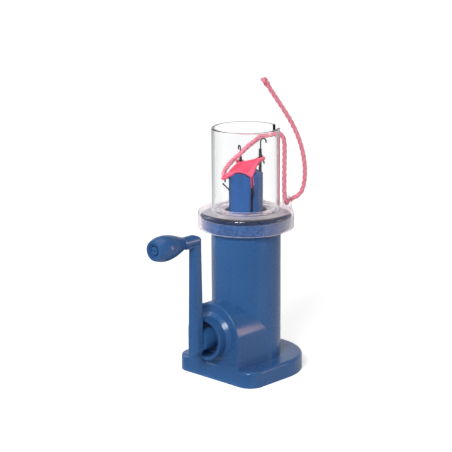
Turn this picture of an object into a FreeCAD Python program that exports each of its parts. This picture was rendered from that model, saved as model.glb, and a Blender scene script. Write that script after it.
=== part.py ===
"""Hand-cranked i-cord maker: a crank drives a needle cylinder through bevel gears.

Frame: millimetres, +Z up. The origin is on the needle cylinder's axis, in the plane
that the base stands on. The crank is on the -Y side. Distances "out" are measured
from the cylinder's axis along -Y, the way the crank shaft points.
"""
import FreeCAD, Part
import Sketcher
import math
import os
import re
from FreeCAD import Placement, Rotation, Vector

SIZES = (
    # barrel, flange and base
    ("barrel_radius", 21.0, "outside radius of the barrel"),
    ("barrel_wall", 2.2, "wall of the barrel"),
    ("flange_radius", 26.8, "flange that carries the clear collar"),
    ("flange_bottom", 89.5, "underside of the flange"),
    ("flange_thickness", 6.7, "thickness of the flange"),
    ("base_radius", 31.5, "round back and half width of the base"),
    ("base_back_offset", 4.0, "centre of the round back, behind the axis"),
    ("base_front", 29.8, "front edge of the base and face of the gear case, out from the axis"),
    ("base_corner_radius", 9.0, "front corners of the base"),
    ("base_rim_height", 10.0, "height of the base rim"),
    ("base_edge_round", 1.8, "rounding of the base's upper edge"),
    ("base_wall", 2.4, "wall of the base rim and its top"),
    # gear case and crank neck
    ("axle_height", 27.0, "crank axis above the surface"),
    ("case_half_width", 20.8, "half width and vault radius of the gear case"),
    ("case_wall", 2.4, "wall of the gear case"),
    ("case_edge_round", 0.9, "rounding of the gear case's front edge"),
    ("face_border", 2.2, "raised border round the gear case's face"),
    ("face_recess", 0.5, "depth of the face inside its border"),
    ("neck_radius", 13.0, "round neck about the crank hub"),
    ("neck_bore_radius", 11.0, "recess inside the neck"),
    ("neck_length", 6.7, "how far the neck stands out of the face"),
    ("neck_flare", 2.2, "flare of the neck's foot"),
    # bottom plate, its screws and the lower bearing
    ("plate_recess", 2.2, "bottom plate above the surface"),
    ("plate_thickness", 2.4, "thickness of the bottom plate"),
    ("plate_clearance", 0.25, "gap round the bottom plate"),
    ("outlet_radius", 6.6, "hole that the finished cord leaves by"),
    ("outlet_rim_radius", 9.0, "rim of the outlet"),
    ("lower_bearing_top", 12.0, "top of the lower bearing ring"),
    ("lower_bearing_radius", 13.6, "outside of the lower bearing ring"),
    ("screw_radius", 1.4, "shank of the plate screws"),
    ("screw_length", 6.2, "length of the plate screws under the head"),
    ("screw_head_radius", 2.7, "head of the plate screws"),
    ("screw_head_height", 1.5, "height of the screw heads"),
    ("screw_hole_clearance", 0.05, "radial gap of the screw in its boss"),
    ("screw_boss_radius", 3.3, "boss that takes a plate screw"),
    ("screw_hole_spare", 0.5, "depth of the screw holes past the screws' ends"),
    ("plate_hole_clearance", 0.2, "radial gap of the screws in the bottom plate"),
    ("screw_slot_width", 0.9, "width of the slot in a screw head"),
    ("screw_slot_depth", 0.7, "depth of the slot in a screw head"),
    ("screw_inset", 5.1, "plate screws from the inside of the rim"),
    ("back_screw_bearing", 36.0, "back screws about the centre of the round back, degrees from X"),
    # clear collar, tube and eyelet
    ("collar_radius", 29.0, "outside radius of the clear collar"),
    ("collar_top", 100.0, "top face of the collar"),
    ("collar_edge_round", 1.8, "rounding of the collar's upper edge"),
    ("collar_skirt_round", 0.5, "rounding of the skirt's lower edge"),
    ("collar_gap", 0.3, "gap between the collar's skirt and the flange"),
    ("collar_hole_radius", 12.7, "hole in the collar about the needle cylinder"),
    ("locating_ring_wall", 1.5, "ring inside the foot of the tube"),
    ("locating_ring_height", 2.2, "height of that ring"),
    ("tube_radius", 20.5, "outside radius of the clear tube"),
    ("tube_wall", 1.6, "wall of the clear tube"),
    ("tube_height", 50.0, "height of the clear tube"),
    ("tube_rim_round", 0.6, "rounding of the tube's rim"),
    ("tube_fit", 0.1, "gap between the tube and its locating ring"),
    ("slot_width", 11.5, "yarn slot in the tube's rim"),
    ("slot_depth", 6.7, "depth of the yarn slot"),
    ("slot_corner_round", 1.8, "rounding of the slot's lower corners"),
    ("slot_bearing", 56.0, "bearing of the yarn slot about the axis, degrees from +X"),
    ("eyelet_bearing", 60.0, "bearing of the yarn eyelet, degrees from +X"),
    ("eyelet_offset", 26.0, "middle of the eyelet from the axis"),
    ("eyelet_loop_radius", 2.5, "loop of the eyelet, to the middle of its rod"),
    ("eyelet_rod_radius", 0.65, "rod of the eyelet"),
    ("eyelet_leg", 3.4, "straight legs of the eyelet above the collar"),
    ("eyelet_root", 2.2, "depth of the eyelet's legs in the collar"),
    ("eyelet_fit", 0.05, "gap about the eyelet's legs"),
    # needle cylinder, its bearings and the cams
    ("cylinder_radius", 10.25, "outside radius of the needle cylinder"),
    ("cylinder_bore_radius", 6.2, "bore that the cord passes through"),
    ("cylinder_foot_gap", 0.4, "gap under the cylinder's foot"),
    ("finger_top", 123.7, "top of the arched fingers"),
    ("finger_arch_radius", 8.5, "radius of the arches"),
    ("needle_slot_bottom", 42.0, "lower end of the needle slots"),
    ("needle_slot_floor", 8.2, "floor of the needle slots from the axis"),
    ("needle_slot_width", 1.6, "width of the needle slots"),
    ("journal_clearance", 0.08, "radial gap of the cylinder and shaft in their bearings"),
    ("foot_flange_radius", 13.4, "flange that rests on the thrust washer"),
    ("foot_flange_thickness", 2.0, "thickness of that flange"),
    ("washer_thickness", 0.6, "thrust washer under the flange"),
    ("bearing_ring_height", 10.0, "height of the top bearing ring"),
    ("bearing_lip_radius", 20.0, "lip that seats the top bearing ring"),
    ("bearing_lip_height", 1.4, "height of that lip"),
    ("insert_fit", 0.2, "gap of the cams and bearing ring in the barrel"),
    ("cam_bottom", 40.0, "lower end of the lower cam"),
    ("cam_top", 81.0, "upper end of the upper cam"),
    ("cam_bore_radius", 12.5, "bore of the cams"),
    ("cam_rise_height", 59.75, "middle of the cam track at mid height"),
    ("cam_rise", 14.9, "rise of the cam track either side of its middle"),
    ("cam_track_height", 8.2, "height of the track between the cams"),
    ("cam_high_bearing", 105.3, "bearing where the cam track is highest, degrees from +X"),
    # gears and crank shaft
    ("gear_module", 1.25, "module of the bevel gears at their large end"),
    ("pinion_teeth", 12, "teeth of the pinion"),
    ("ring_gear_teeth", 24, "teeth of the ring gear"),
    ("gear_face", 4.4, "face width of the teeth"),
    ("gear_addendum", 0.8, "height of the teeth above the pitch line, in modules"),
    ("gear_dedendum", 1.15, "depth of the teeth below the pitch line, in modules"),
    ("gear_pressure_angle", 20.0, "slope of the teeth's flanks, degrees"),
    ("gear_backlash", 0.3, "taken off each flank"),
    ("gear_bore_fit", 0.04, "gap between a gear and what carries it"),
    ("pinion_hub_radius", 5.0, "hub behind the pinion"),
    ("pinion_shoulder", 1.2, "straight shoulder between the pinion's teeth and its hub"),
    ("pinion_back", 20.0, "back of the pinion's hub, out from the axis"),
    ("shaft_radius", 3.0, "crank shaft"),
    ("shaft_start", 11.4, "inner end of the shaft, out from the axis"),
    ("shaft_end", 44.5, "outer end of the shaft, out from the axis"),
    ("bush_start", 22.0, "inner end of the crank bush, out from the axis"),
    ("bush_radius", 6.0, "outside radius of the crank bush"),
    ("bush_flange_radius", 8.2, "flange of the crank bush"),
    ("bush_flange_thickness", 1.5, "thickness of that flange"),
    ("bush_fit", 0.05, "gap about the crank bush"),
    ("clip_radius", 5.2, "outside of the shaft clip"),
    ("clip_thickness", 0.8, "thickness of the shaft clip"),
    ("clip_groove_radius", 2.4, "bottom of the clip's groove in the shaft"),
    ("clip_fit", 0.05, "gap between the clip and its groove"),
    ("end_play", 0.3, "axial gap of the crank shaft"),
    # crank arm and knob
    ("hub_radius", 6.3, "hub of the crank arm"),
    ("arm_inner", 40.5, "inner face of the arm, out from the axis"),
    ("arm_depth", 6.5, "depth of the arm"),
    ("arm_foot", 18.0, "lower end of the arm"),
    ("arm_foot_width", 7.6, "width of the arm at its foot"),
    ("arm_top_width", 5.2, "width of the arm at its top"),
    ("arm_shoulder_drop", 1.0, "full width of the arm's top starts this far under the stub"),
    ("arm_bore_gap", 0.1, "gap past the end of the shaft in the arm"),
    ("arm_edge_round", 1.3, "rounding of the arm's edges"),
    ("crank_throw", 62.2, "knob axis above the crank axis"),
    ("stub_radius", 3.55, "stub that carries the knob"),
    ("stub_end", 53.6, "end of the stub, out from the axis"),
    ("elbow_round", 2.9, "rounding of the end of the stub at the elbow"),
    ("elbow_bend", 6.0, "outer bend of the elbow, from the arm into the stub"),
    ("knob_length", 23.2, "length of the knob"),
    ("knob_neck_radius", 3.7, "neck of the knob"),
    ("knob_waist_radius", 6.15, "knob between its neck and its widest place"),
    ("knob_waist_share", 0.3, "where that is along the knob, as a share of its length"),
    ("knob_widest_share", 0.64, "where the knob is widest, as a share of its length"),
    ("knob_radius", 7.6, "largest radius of the knob"),
    ("knob_end_radius", 5.9, "flat end of the knob"),
    ("knob_screw_radius", 2.0, "screw that the knob turns on"),
    ("knob_screw_reach", 7.6, "depth of the screw in the stub"),
    ("knob_screw_head_radius", 2.5, "head of that screw"),
    ("knob_recess_radius", 4.3, "recess in the knob's end"),
    ("knob_recess_depth", 1.9, "depth of that recess"),
    ("knob_step_radius", 3.2, "step in that recess"),
    ("knob_step_depth", 0.8, "depth of the recess outside the step"),
    ("knob_screw_head_height", 1.4, "height of the screw head"),
    ("knob_washer_radius", 3.4, "washer between the stub and the knob"),
    ("knob_washer_thickness", 0.5, "thickness of that washer"),
    ("knob_play", 0.1, "axial gap at each end of the knob"),
    # latch needles
    ("needle_back", 8.4, "back of the needle stems from the axis"),
    ("needle_depth", 1.6, "depth of the stems, outwards"),
    ("needle_thickness", 1.2, "thickness of the stems"),
    ("needle_length", 70.0, "hook top to the middle of the butt"),
    ("butt_reach", 12.2, "end of the butts from the axis"),
    ("butt_height", 3.0, "height of the butts"),
    ("hook_wire_radius", 0.45, "wire of the hooks"),
    ("hook_bend_radius", 1.8, "bend of the hooks, to the middle of the wire"),
    ("hook_inset", 0.1, "wire of the hook inside the stem's outer face"),
    ("hook_root", 1.0, "depth of the hook's wire in the stem"),
    ("hook_tip_drop", 0.7, "straight tip of the hooks"),
    ("stem_shoulder", 6.6, "top of the flat stem under the hook top"),
    ("latch_pivot_drop", 9.0, "latch pivot under the hook top"),
    ("latch_pivot_offset", 9.7, "latch pivot from the axis"),
    ("latch_length", 7.2, "length of the latches"),
    ("latch_thickness", 0.4, "thickness of the latch blades"),
    ("latch_root_radius", 0.6, "round root of the latches about their pins"),
    ("latch_slit", 0.52, "slit for the latch in the stem"),
    ("latch_slit_gap", 0.1, "gap between the latch's root and the floor of the slit"),
    ("latch_slit_above", 1.8, "slit above the pivot"),
    ("latch_slit_below", 0.8, "slit past the tip of an open latch"),
    ("latch_width", 0.8, "width of the latch blades"),
    ("latch_spoon_radius", 0.55, "spoon at the tip of the latches"),
    ("latch_pin_radius", 0.25, "pins that the latches turn on"),
    ("latch_pin_clearance", 0.03, "gap between a latch and its pin"),
    ("needle_1_top", 143.0, "hook top of needle 1 at rest"),
    ("needle_2_top", 137.5, "hook top of needle 2 at rest"),
    ("needle_3_top", 121.0, "hook top of needle 3 at rest"),
    ("needle_4_top", 117.5, "hook top of needle 4 at rest"),
    ("needle_1_bearing", 63.0, "bearing of needle 1, degrees from +X"),
    # knitted cord and yarn
    ("cord_radius", 5.3, "knitted cord in the bore"),
    ("cord_bottom", 86.0, "lower end of the knitted cord"),
    ("web_radius", 7.9, "web of stitches above the fingers"),
    ("web_start", 124.3, "where the cord widens into the web"),
    ("web_full", 128.1, "where the web is widest"),
    ("web_middle", 127.0, "height of the slanted top of the web on the axis"),
    ("web_slope", 45.0, "slope of the web's top, degrees"),
    ("web_high_bearing", 88.0, "bearing where the web is highest, degrees from +X"),
    ("yarn_diameter", 2.6, "diameter of the yarn"),
    ("knot_radius", 2.3, "knot at the free end of the yarn"),
)

NEEDLE_COUNT = 4
# angle of each latch from straight up at rest, degrees: two hang open, two are nearly shut
LATCH_REST_ANGLES = (162.0, 160.0, 43.0, 39.0)

# Route of the yarn from inside the tube over its rim, down through the eyelet and up.
YARN_ROUTE = (
    (8.6, 12.8, 144.8),
    (10.2, 15.1, 145.3),
    (12.2, 18.1, 145.1),
    (13.5, 19.3, 141.6),
    (13.9, 19.2, 133.0),
    (14.2, 18.6, 120.5),
    (14.8, 17.9, 110.5),
    (15.9, 17.5, 104.9),
    (15.0, 20.6, 102.4),
    (11.0, 24.0, 102.4),
    (9.9, 27.3, 104.6),
    (13.3, 31.4, 108.0),
    (16.4, 33.6, 115.5),
    (17.5, 33.3, 126.5),
    (16.3, 30.9, 138.5),
    (13.1, 26.9, 150.5),
    (8.4, 20.5, 163.0),
    (2.6, 14.4, 176.0),
)

doc = FreeCAD.newDocument("IcordMaker")
sheet = doc.addObject("Spreadsheet::Sheet", "Dims")
for row, (alias, amount, note) in enumerate(SIZES, 1):
    sheet.set(f"A{row}", note)
    sheet.set(f"B{row}", str(amount))
    sheet.setAlias(f"B{row}", alias)
doc.recompute()

ALIASES = {alias for alias, amount, note in SIZES}
UPRIGHT = Rotation()
OUTWARD = Rotation(Vector(1, 0, 0), 90)    # turns a piece's own +Z to the row's -Y
FLIPPED = Rotation(Vector(1, 0, 0), 180)   # turns a piece's own +Z to the row's -Z
PAST = "1"                                 # how far a cutting tool runs past a face
SUNK = "0.5"                               # how far one part of a fused piece runs into another
NEAR = 0.01                                # edges are picked out to within this distance
subparts = []


# ---------------------------------------------------------------- helpers
def dim(alias):
    """The value of one size, read from the sheet."""
    return float(sheet.get(alias))


def bound(text):
    """An expression over the sheet: every size named in the text gets the sheet's name."""
    def named(match):
        word = match.group()
        return "Dims." + word if word in ALIASES else word

    return re.sub(r"[a-z][a-z_0-9]*", named, text)


def bind(item, **expressions):
    for name, text in expressions.items():
        item.setExpression(name, bound(text))
    return item


def place(item, x="0", y="0", z="0", rotation=UPRIGHT):
    item.Placement = Placement(Vector(), rotation)
    for letter, text in (("x", x), ("y", y), ("z", z)):
        item.setExpression("Placement.Base." + letter, bound(text))
    return item


def cylinder(name, radius, height, x="0", y="0", z="0", rotation=UPRIGHT):
    item = doc.addObject("Part::Cylinder", name)
    return place(bind(item, Radius=radius, Height=height), x, y, z, rotation)


def outward_cylinder(name, radius, start, end, x="0", z="axle_height"):
    """A cylinder along the crank's direction, from one distance out to another."""
    return cylinder(name, radius, f"({end}) - ({start})", x, f"-({start})", z, OUTWARD)


def cone(name, low_radius, high_radius, height, x="0", y="0", z="0", rotation=UPRIGHT):
    item = doc.addObject("Part::Cone", name)
    return place(bind(item, Radius1=low_radius, Radius2=high_radius, Height=height), x, y, z, rotation)


def block(name, length, width, height, x="0", y="0", z="0"):
    item = doc.addObject("Part::Box", name)
    return place(bind(item, Length=length, Width=width, Height=height), x, y, z)


def fuse(name, *items):
    item = doc.addObject("Part::MultiFuse", name)
    item.Shapes = list(items)
    item.Refine = True
    return item


def cut(name, base, *tools):
    item = doc.addObject("Part::Cut", name)
    item.Base = base
    item.Tool = tools[0] if len(tools) == 1 else fuse(name + "_tools", *tools)
    item.Refine = True
    return item


def common(name, *items):
    item = doc.addObject("Part::MultiCommon", name)
    item.Shapes = list(items)
    item.Refine = True
    return item


def rounded(name, base, radius, wanted):
    """Fillets the edges of a finished base that the test picks out."""
    doc.recompute()
    item = doc.addObject("Part::Fillet", name)
    item.Base = base
    item.Edges = [(i, radius, radius) for i, edge in enumerate(base.Shape.Edges, 1) if wanted(edge)]
    return item


def is_circle(edge, radius, height):
    """True for an edge round the upright axis with this radius at this height."""
    if not isinstance(edge.Curve, Part.Circle):
        return False
    centre = edge.Curve.Center
    on_axis = math.hypot(centre.x, centre.y) < NEAR
    return on_axis and abs(edge.Curve.Radius - radius) < NEAR and abs(centre.z - height) < NEAR


def subpart(item, label):
    item.Label = label
    subparts.append(item)
    return item


def solid_subpart(label, shape, placement=None):
    """A sub-part whose shape comes from Part's own functions."""
    item = doc.addObject("Part::Feature", label)
    item.Shape = shape
    if placement is not None:
        item.Placement = placement
    return subpart(item, label)


def origin_plane(body, role):
    return next(plane for plane in body.Origin.OriginFeatures if plane.Role == role)


def outline_sketch(body, name, plane, outline):
    """A closed outline of straight lines, each corner held by its two distances from the origin."""
    sketch = body.newObject("Sketcher::SketchObject", name)
    sketch.AttachmentSupport = [(origin_plane(body, plane), "")]
    sketch.MapMode = "FlatFace"
    count = len(outline)
    step = math.tau / count
    corners = [Vector(math.cos(step * i), math.sin(step * i), 0) for i in range(count)]
    for i in range(count):
        sketch.addGeometry(Part.LineSegment(corners[i], corners[(i + 1) % count]), False)
    for i in range(count):
        sketch.addConstraint(Sketcher.Constraint("Coincident", i, 2, (i + 1) % count, 1))
    for i, (across, up) in enumerate(outline):
        for kind, text, start in (("DistanceX", across, corners[i].x), ("DistanceY", up, corners[i].y)):
            number = sketch.addConstraint(Sketcher.Constraint(kind, -1, 1, i, 1, start))
            sketch.setExpression(f"Constraints[{number}]", bound(text))
    doc.recompute()
    return sketch


def turned(label, outline, x="0", y="0", z="0", rotation=UPRIGHT, rounds=()):
    """A turned piece: a Body with a revolved sketch of (radius, height) corners.

    Each entry of rounds is a fillet size and the (radius, height) of the circles that it rounds.
    """
    body = doc.addObject("PartDesign::Body", label)
    spin = body.newObject("PartDesign::Revolution", label + "_turned")
    sketch = outline_sketch(body, label + "_outline", "XZ_Plane", outline)
    spin.Profile = sketch
    spin.ReferenceAxis = (sketch, ["V_Axis"])
    spin.Angle = 360
    doc.recompute()
    for number, (amount, circles) in enumerate(rounds, 1):
        base = body.Tip
        edges = [f"Edge{i}" for i, edge in enumerate(base.Shape.Edges, 1)
                 if any(is_circle(edge, radius, height) for radius, height in circles)]
        fillet = body.newObject("PartDesign::Fillet", f"{label}_round_{number}")
        fillet.Base = (base, edges)
        bind(fillet, Radius=amount)
        doc.recompute()
    return subpart(place(body, x, y, z, rotation), label)


def ring(label, inner, outer, low, high, z="0", rotation=UPRIGHT):
    """A plain ring as a turned piece."""
    return turned(label, [(inner, low), (outer, low), (outer, high), (inner, high)], z=z, rotation=rotation)


def base_pad(name, inset, low, high):
    """The D-shaped plan of the base, inset all round, as a padded Body between two heights."""
    body = doc.addObject("PartDesign::Body", name)
    sketch = body.newObject("Sketcher::SketchObject", name + "_plan")
    sketch.AttachmentSupport = [(origin_plane(body, "XY_Plane"), "")]
    sketch.MapMode = "FlatFace"
    half, corner = dim("base_radius"), dim("base_corner_radius")
    front, back = dim("base_front"), dim("base_back_offset")
    up = Vector(0, 0, 1)
    circles = [Part.Circle(Vector(0, back, 0), up, half),
               Part.Circle(Vector(corner - half, corner - front, 0), up, corner),
               Part.Circle(Vector(half - corner, corner - front, 0), up, corner)]
    quarter = math.pi / 2
    straight = half - corner
    for line in (Part.ArcOfCircle(circles[0], 0, 2 * quarter),
                 Part.LineSegment(Vector(-half, back, 0), Vector(-half, corner - front, 0)),
                 Part.ArcOfCircle(circles[1], 2 * quarter, 3 * quarter),
                 Part.LineSegment(Vector(-straight, -front, 0), Vector(straight, -front, 0)),
                 Part.ArcOfCircle(circles[2], 3 * quarter, 4 * quarter),
                 Part.LineSegment(Vector(half, corner - front, 0), Vector(half, back, 0))):
        sketch.addGeometry(line, False)
    for first, first_end, second, second_end in ((0, 2, 1, 1), (1, 2, 2, 1), (2, 2, 3, 1),
                                                 (3, 2, 4, 1), (4, 2, 5, 1), (5, 2, 0, 1)):
        sketch.addConstraint(Sketcher.Constraint("Tangent", first, first_end, second, second_end))
    sketch.addConstraint(Sketcher.Constraint("Vertical", 1))
    sketch.addConstraint(Sketcher.Constraint("Horizontal", 3))
    sketch.addConstraint(Sketcher.Constraint("PointOnObject", 0, 3, -2))
    sketch.addConstraint(Sketcher.Constraint("Equal", 2, 4))
    sizes = (("DistanceY", (-1, 1, 0, 3, back), "base_back_offset"),
             ("DistanceY", (3, 1, -1, 1, front), f"base_front - ({inset})"),
             ("Radius", (0, half), f"base_radius - ({inset})"),
             ("Radius", (2, corner), f"base_corner_radius - ({inset})"))
    for kind, geometry, text in sizes:
        number = sketch.addConstraint(Sketcher.Constraint(kind, *geometry))
        sketch.setExpression(f"Constraints[{number}]", bound(text))
    pad = body.newObject("PartDesign::Pad", name + "_pad")
    pad.Profile = sketch
    bind(pad, Length=f"({high}) - ({low})")
    doc.recompute()
    return place(body, z=low)


def arch_solid(name, half_width, start, end, foot):
    """The gear case's form: a half cylinder along the crank's direction on upright sides."""
    vault = outward_cylinder(name + "_vault", half_width, start, end)
    walls = block(name + "_walls", f"2 * ({half_width})", f"({end}) - ({start})", f"axle_height - ({foot})",
                  f"-({half_width})", f"-({end})", foot)
    return fuse(name, vault, walls)


# ---------------------------------------------------------------- housing
FLANGE_TOP = "flange_bottom + flange_thickness"
BARREL_BORE = "barrel_radius - barrel_wall"
FACE = "base_front - face_recess"
PLATE_TOP = "plate_recess + plate_thickness"
SCREW_CIRCLE = "(base_radius - base_wall - screw_inset)"
FRONT_SCREW = (SCREW_CIRCLE, "-(base_front - base_wall - screw_inset)")
BACK_SCREW = (f"{SCREW_CIRCLE} * cos(back_screw_bearing)",
              f"base_back_offset + {SCREW_CIRCLE} * sin(back_screw_bearing)")
SCREW_PLACES = [(f"{side} * {across}", away) for side in (-1, 1) for across, away in (FRONT_SCREW, BACK_SCREW)]


def make_housing():
    base = base_pad("base_outside", "0", "0", "base_rim_height")
    top = dim("base_rim_height")
    edges = [f"Edge{i}" for i, edge in enumerate(base.Tip.Shape.Edges, 1)
             if abs(edge.BoundBox.ZMin - top) < NEAR and abs(edge.BoundBox.ZMax - top) < NEAR]
    edge_round = base.newObject("PartDesign::Fillet", "base_outside_round")
    edge_round.Base = (base.getObject("base_outside_pad"), edges)
    bind(edge_round, Radius="base_edge_round")

    case = arch_solid("case_outside", "case_half_width", "0", "base_front", "0")
    front = -dim("base_front")
    case = rounded("case_rounded", case, dim("case_edge_round"),
                   lambda edge: edge.BoundBox.YMax < front + NEAR and edge.BoundBox.ZMax > NEAR)
    face_cut = arch_solid("face_cut", "case_half_width - face_border", FACE, f"base_front + {PAST}",
                          "base_rim_height + face_border")
    neck = outward_cylinder("neck_outside", "neck_radius", f"{FACE} - {SUNK}", "base_front + neck_length")
    flare = cone("neck_flare_ring", "neck_radius + neck_flare", "neck_radius", "neck_flare",
                 y=f"-({FACE})", z="axle_height", rotation=OUTWARD)
    neck_foot = outward_cylinder("neck_foot", "neck_radius + neck_flare", f"{FACE} - {SUNK}", FACE)
    outside = fuse("housing_outside", base, cut("case_faced", case, face_cut), neck, neck_foot, flare,
                   cylinder("barrel_outside", "barrel_radius", FLANGE_TOP),
                   cylinder("flange_outside", "flange_radius", "flange_thickness", z="flange_bottom"))

    ceiling = "base_rim_height - base_wall"
    hollows = [
        base_pad("base_hollow", "base_wall", f"-{PAST}", ceiling),
        arch_solid("case_hollow", "case_half_width - case_wall", "0", "base_front - case_wall", f"-{PAST}"),
        cylinder("barrel_hollow", BARREL_BORE, f"{FLANGE_TOP} + {PAST}"),
        cylinder("lip_seat", "bearing_lip_radius + insert_fit", f"bearing_lip_height + {PAST}",
                 z=f"{FLANGE_TOP} - bearing_lip_height"),
        outward_cylinder("neck_hollow", "neck_bore_radius", FACE, f"base_front + neck_length + {PAST}"),
        outward_cylinder("bush_hole", "bush_radius + bush_fit", "bush_start", "base_front"),
    ]
    shell = cut("housing_shell", outside, *hollows)
    boss_height = f"{ceiling} + {SUNK} - ({PLATE_TOP})"
    hole_depth = f"screw_length - plate_thickness + screw_hole_spare + {PAST}"
    bosses, holes = [], []
    for i, (x, y) in enumerate(SCREW_PLACES, 1):
        bosses.append(cylinder(f"screw_boss_{i}", "screw_boss_radius", boss_height, x, y, PLATE_TOP))
        holes.append(cylinder(f"screw_hole_{i}", "screw_radius + screw_hole_clearance", hole_depth, x, y,
                              f"{PLATE_TOP} - {PAST}"))
    return subpart(cut("housing", fuse("housing_bossed", shell, *bosses), *holes), "housing")


def make_bottom_plate():
    blank = fuse("plate_blank",
                 base_pad("plate_pad", "base_wall + plate_clearance", "plate_recess", PLATE_TOP),
                 cylinder("outlet_rim", "outlet_rim_radius", PLATE_TOP),
                 cylinder("lower_bearing", "lower_bearing_radius", "lower_bearing_top - plate_recess",
                          z="plate_recess"))
    holes = [cylinder(f"plate_hole_{i}", "screw_radius + plate_hole_clearance",
                      f"plate_thickness + 2 * {PAST}", x, y, f"plate_recess - {PAST}")
             for i, (x, y) in enumerate(SCREW_PLACES, 1)]
    bores = [cylinder("outlet_bore", "outlet_radius", f"{PLATE_TOP} + 2 * {PAST}", z=f"-{PAST}"),
             cylinder("journal_bore", "cylinder_radius + journal_clearance",
                      f"lower_bearing_top - ({PLATE_TOP}) + {PAST}", z=PLATE_TOP)]
    return subpart(cut("bottom_plate", blank, *holes, *bores), "bottom_plate")


def make_plate_screws():
    screws = []
    for i, (x, y) in enumerate(SCREW_PLACES, 1):
        head = cylinder(f"screw_head_{i}", "screw_head_radius", "screw_head_height", x, y,
                        "plate_recess - screw_head_height")
        shank = cylinder(f"screw_shank_{i}", "screw_radius", "screw_length", x, y, "plate_recess")
        slot = block(f"screw_slot_{i}", f"2 * (screw_head_radius + {PAST})", "screw_slot_width",
                     f"screw_slot_depth + {PAST}", f"{x} - screw_head_radius - {PAST}",
                     f"{y} - screw_slot_width / 2", f"plate_recess - screw_head_height - {PAST}")
        screws.append(cut(f"plate_screw_{i}", fuse(f"screw_blank_{i}", head, shank), slot))
    group = doc.addObject("Part::Compound", "plate_screws")
    group.Links = screws
    return subpart(group, "plate_screws")


# ---------------------------------------------------------------- bearings and cams
def make_bearings():
    ring("thrust_washer", "cylinder_radius + 2 * journal_clearance", "foot_flange_radius",
         "lower_bearing_top", "lower_bearing_top + washer_thickness")
    inner = "cylinder_radius + journal_clearance"
    outer = f"{BARREL_BORE} - insert_fit"
    low, lip, high = f"{FLANGE_TOP} - bearing_ring_height", f"{FLANGE_TOP} - bearing_lip_height", FLANGE_TOP
    turned("top_bearing_ring", [(inner, low), (outer, low), (outer, lip), ("bearing_lip_radius", lip),
                                ("bearing_lip_radius", high), (inner, high)])


def make_cams():
    """Two sleeves in the barrel: the slanted gap between them is the track of the needle butts."""
    steepness = math.degrees(math.atan2(dim("cam_rise"), dim("butt_reach")))
    lean = Rotation(Vector(0, 0, 1), dim("cam_high_bearing") - 90).multVec(Vector(1, 0, 0))
    length = "cam_top - cam_bottom"
    for label, offset, turn in (("lower_cam", "-cam_track_height / 2", steepness + 180),
                                ("upper_cam", "cam_track_height / 2", steepness)):
        blank = cylinder(label + "_blank", f"{BARREL_BORE} - insert_fit", length, z="cam_bottom")
        bore = cylinder(label + "_bore", "cam_bore_radius", f"{length} + 2 * {PAST}", z=f"cam_bottom - {PAST}")
        side = cylinder(label + "_side", "2 * barrel_radius", "2 * cam_top",
                        z=f"cam_rise_height + ({offset})", rotation=Rotation(lean, turn))
        subpart(common(label, cut(label + "_sleeve", blank, bore), side), label)


# ---------------------------------------------------------------- clear collar, tube and eyelet
def bearing_turn(alias):
    return Rotation(Vector(0, 0, 1), dim(alias))


def make_clear_parts():
    skirt = "flange_radius + collar_gap"
    step = "tube_radius - tube_wall - tube_fit"
    under, top = FLANGE_TOP, "collar_top"
    collar = turned("collar_blank", [
        (skirt, "flange_bottom"), ("collar_radius", "flange_bottom"), ("collar_radius", top), (step, top),
        (step, f"{top} + locating_ring_height"),
        (f"{step} - locating_ring_wall", f"{top} + locating_ring_height"),
        (f"{step} - locating_ring_wall", top), ("collar_hole_radius", top),
        ("collar_hole_radius", under), (skirt, under)],
        rounds=[("collar_edge_round", [(dim("collar_radius"), dim("collar_top"))]),
                ("collar_skirt_round", [(dim("collar_radius"), dim("flange_bottom"))])])
    subparts.remove(collar)

    leg_holes = []
    turn = bearing_turn("eyelet_bearing")
    for name, side in (("inner", -1), ("outer", 1)):
        hole = doc.addObject("Part::Cylinder", f"eyelet_{name}_hole")
        bind(hole, Radius="eyelet_rod_radius + eyelet_fit", Height=f"eyelet_root + {PAST}")
        away = dim("eyelet_offset") + side * dim("eyelet_loop_radius")
        low = dim("collar_top") - dim("eyelet_root")
        hole.Placement = Placement(turn.multVec(Vector(away, 0, low)), UPRIGHT)
        leg_holes.append(hole)
    subpart(cut("clear_collar", collar, *leg_holes), "clear_collar")

    inner, rim = "tube_radius - tube_wall", "collar_top + tube_height"
    rim_height = dim("collar_top") + dim("tube_height")
    tube = turned("tube_blank",
                  [(inner, "collar_top"), ("tube_radius", "collar_top"), ("tube_radius", rim), (inner, rim)],
                  rounds=[("tube_rim_round", [(dim("tube_radius"), rim_height)])])
    subparts.remove(tube)
    slot = block("yarn_slot", f"2 * tube_wall + 2 * {PAST}", "slot_width", f"slot_depth + {PAST}",
                 f"{inner} - {PAST}", "-slot_width / 2", f"{rim} - slot_depth")
    floor_height = rim_height - dim("slot_depth")
    soft_slot = rounded("yarn_slot_rounded", slot, dim("slot_corner_round"),
                        lambda edge: edge.BoundBox.ZMax < floor_height + NEAR
                        and edge.BoundBox.XLength > edge.BoundBox.YLength)
    soft_slot.Placement = Placement(Vector(), bearing_turn("slot_bearing"))
    subpart(cut("clear_tube", tube, soft_slot), "clear_tube")


def rod_along(path, radius):
    """A round rod swept along a wire that starts at the wire's first point."""
    start = path.Edges[0]
    section = Part.Wire(Part.makeCircle(radius, start.valueAt(start.FirstParameter),
                                        start.tangentAt(start.FirstParameter)))
    return Part.Wire(path.Edges).makePipeShell([section], True, False)


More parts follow.
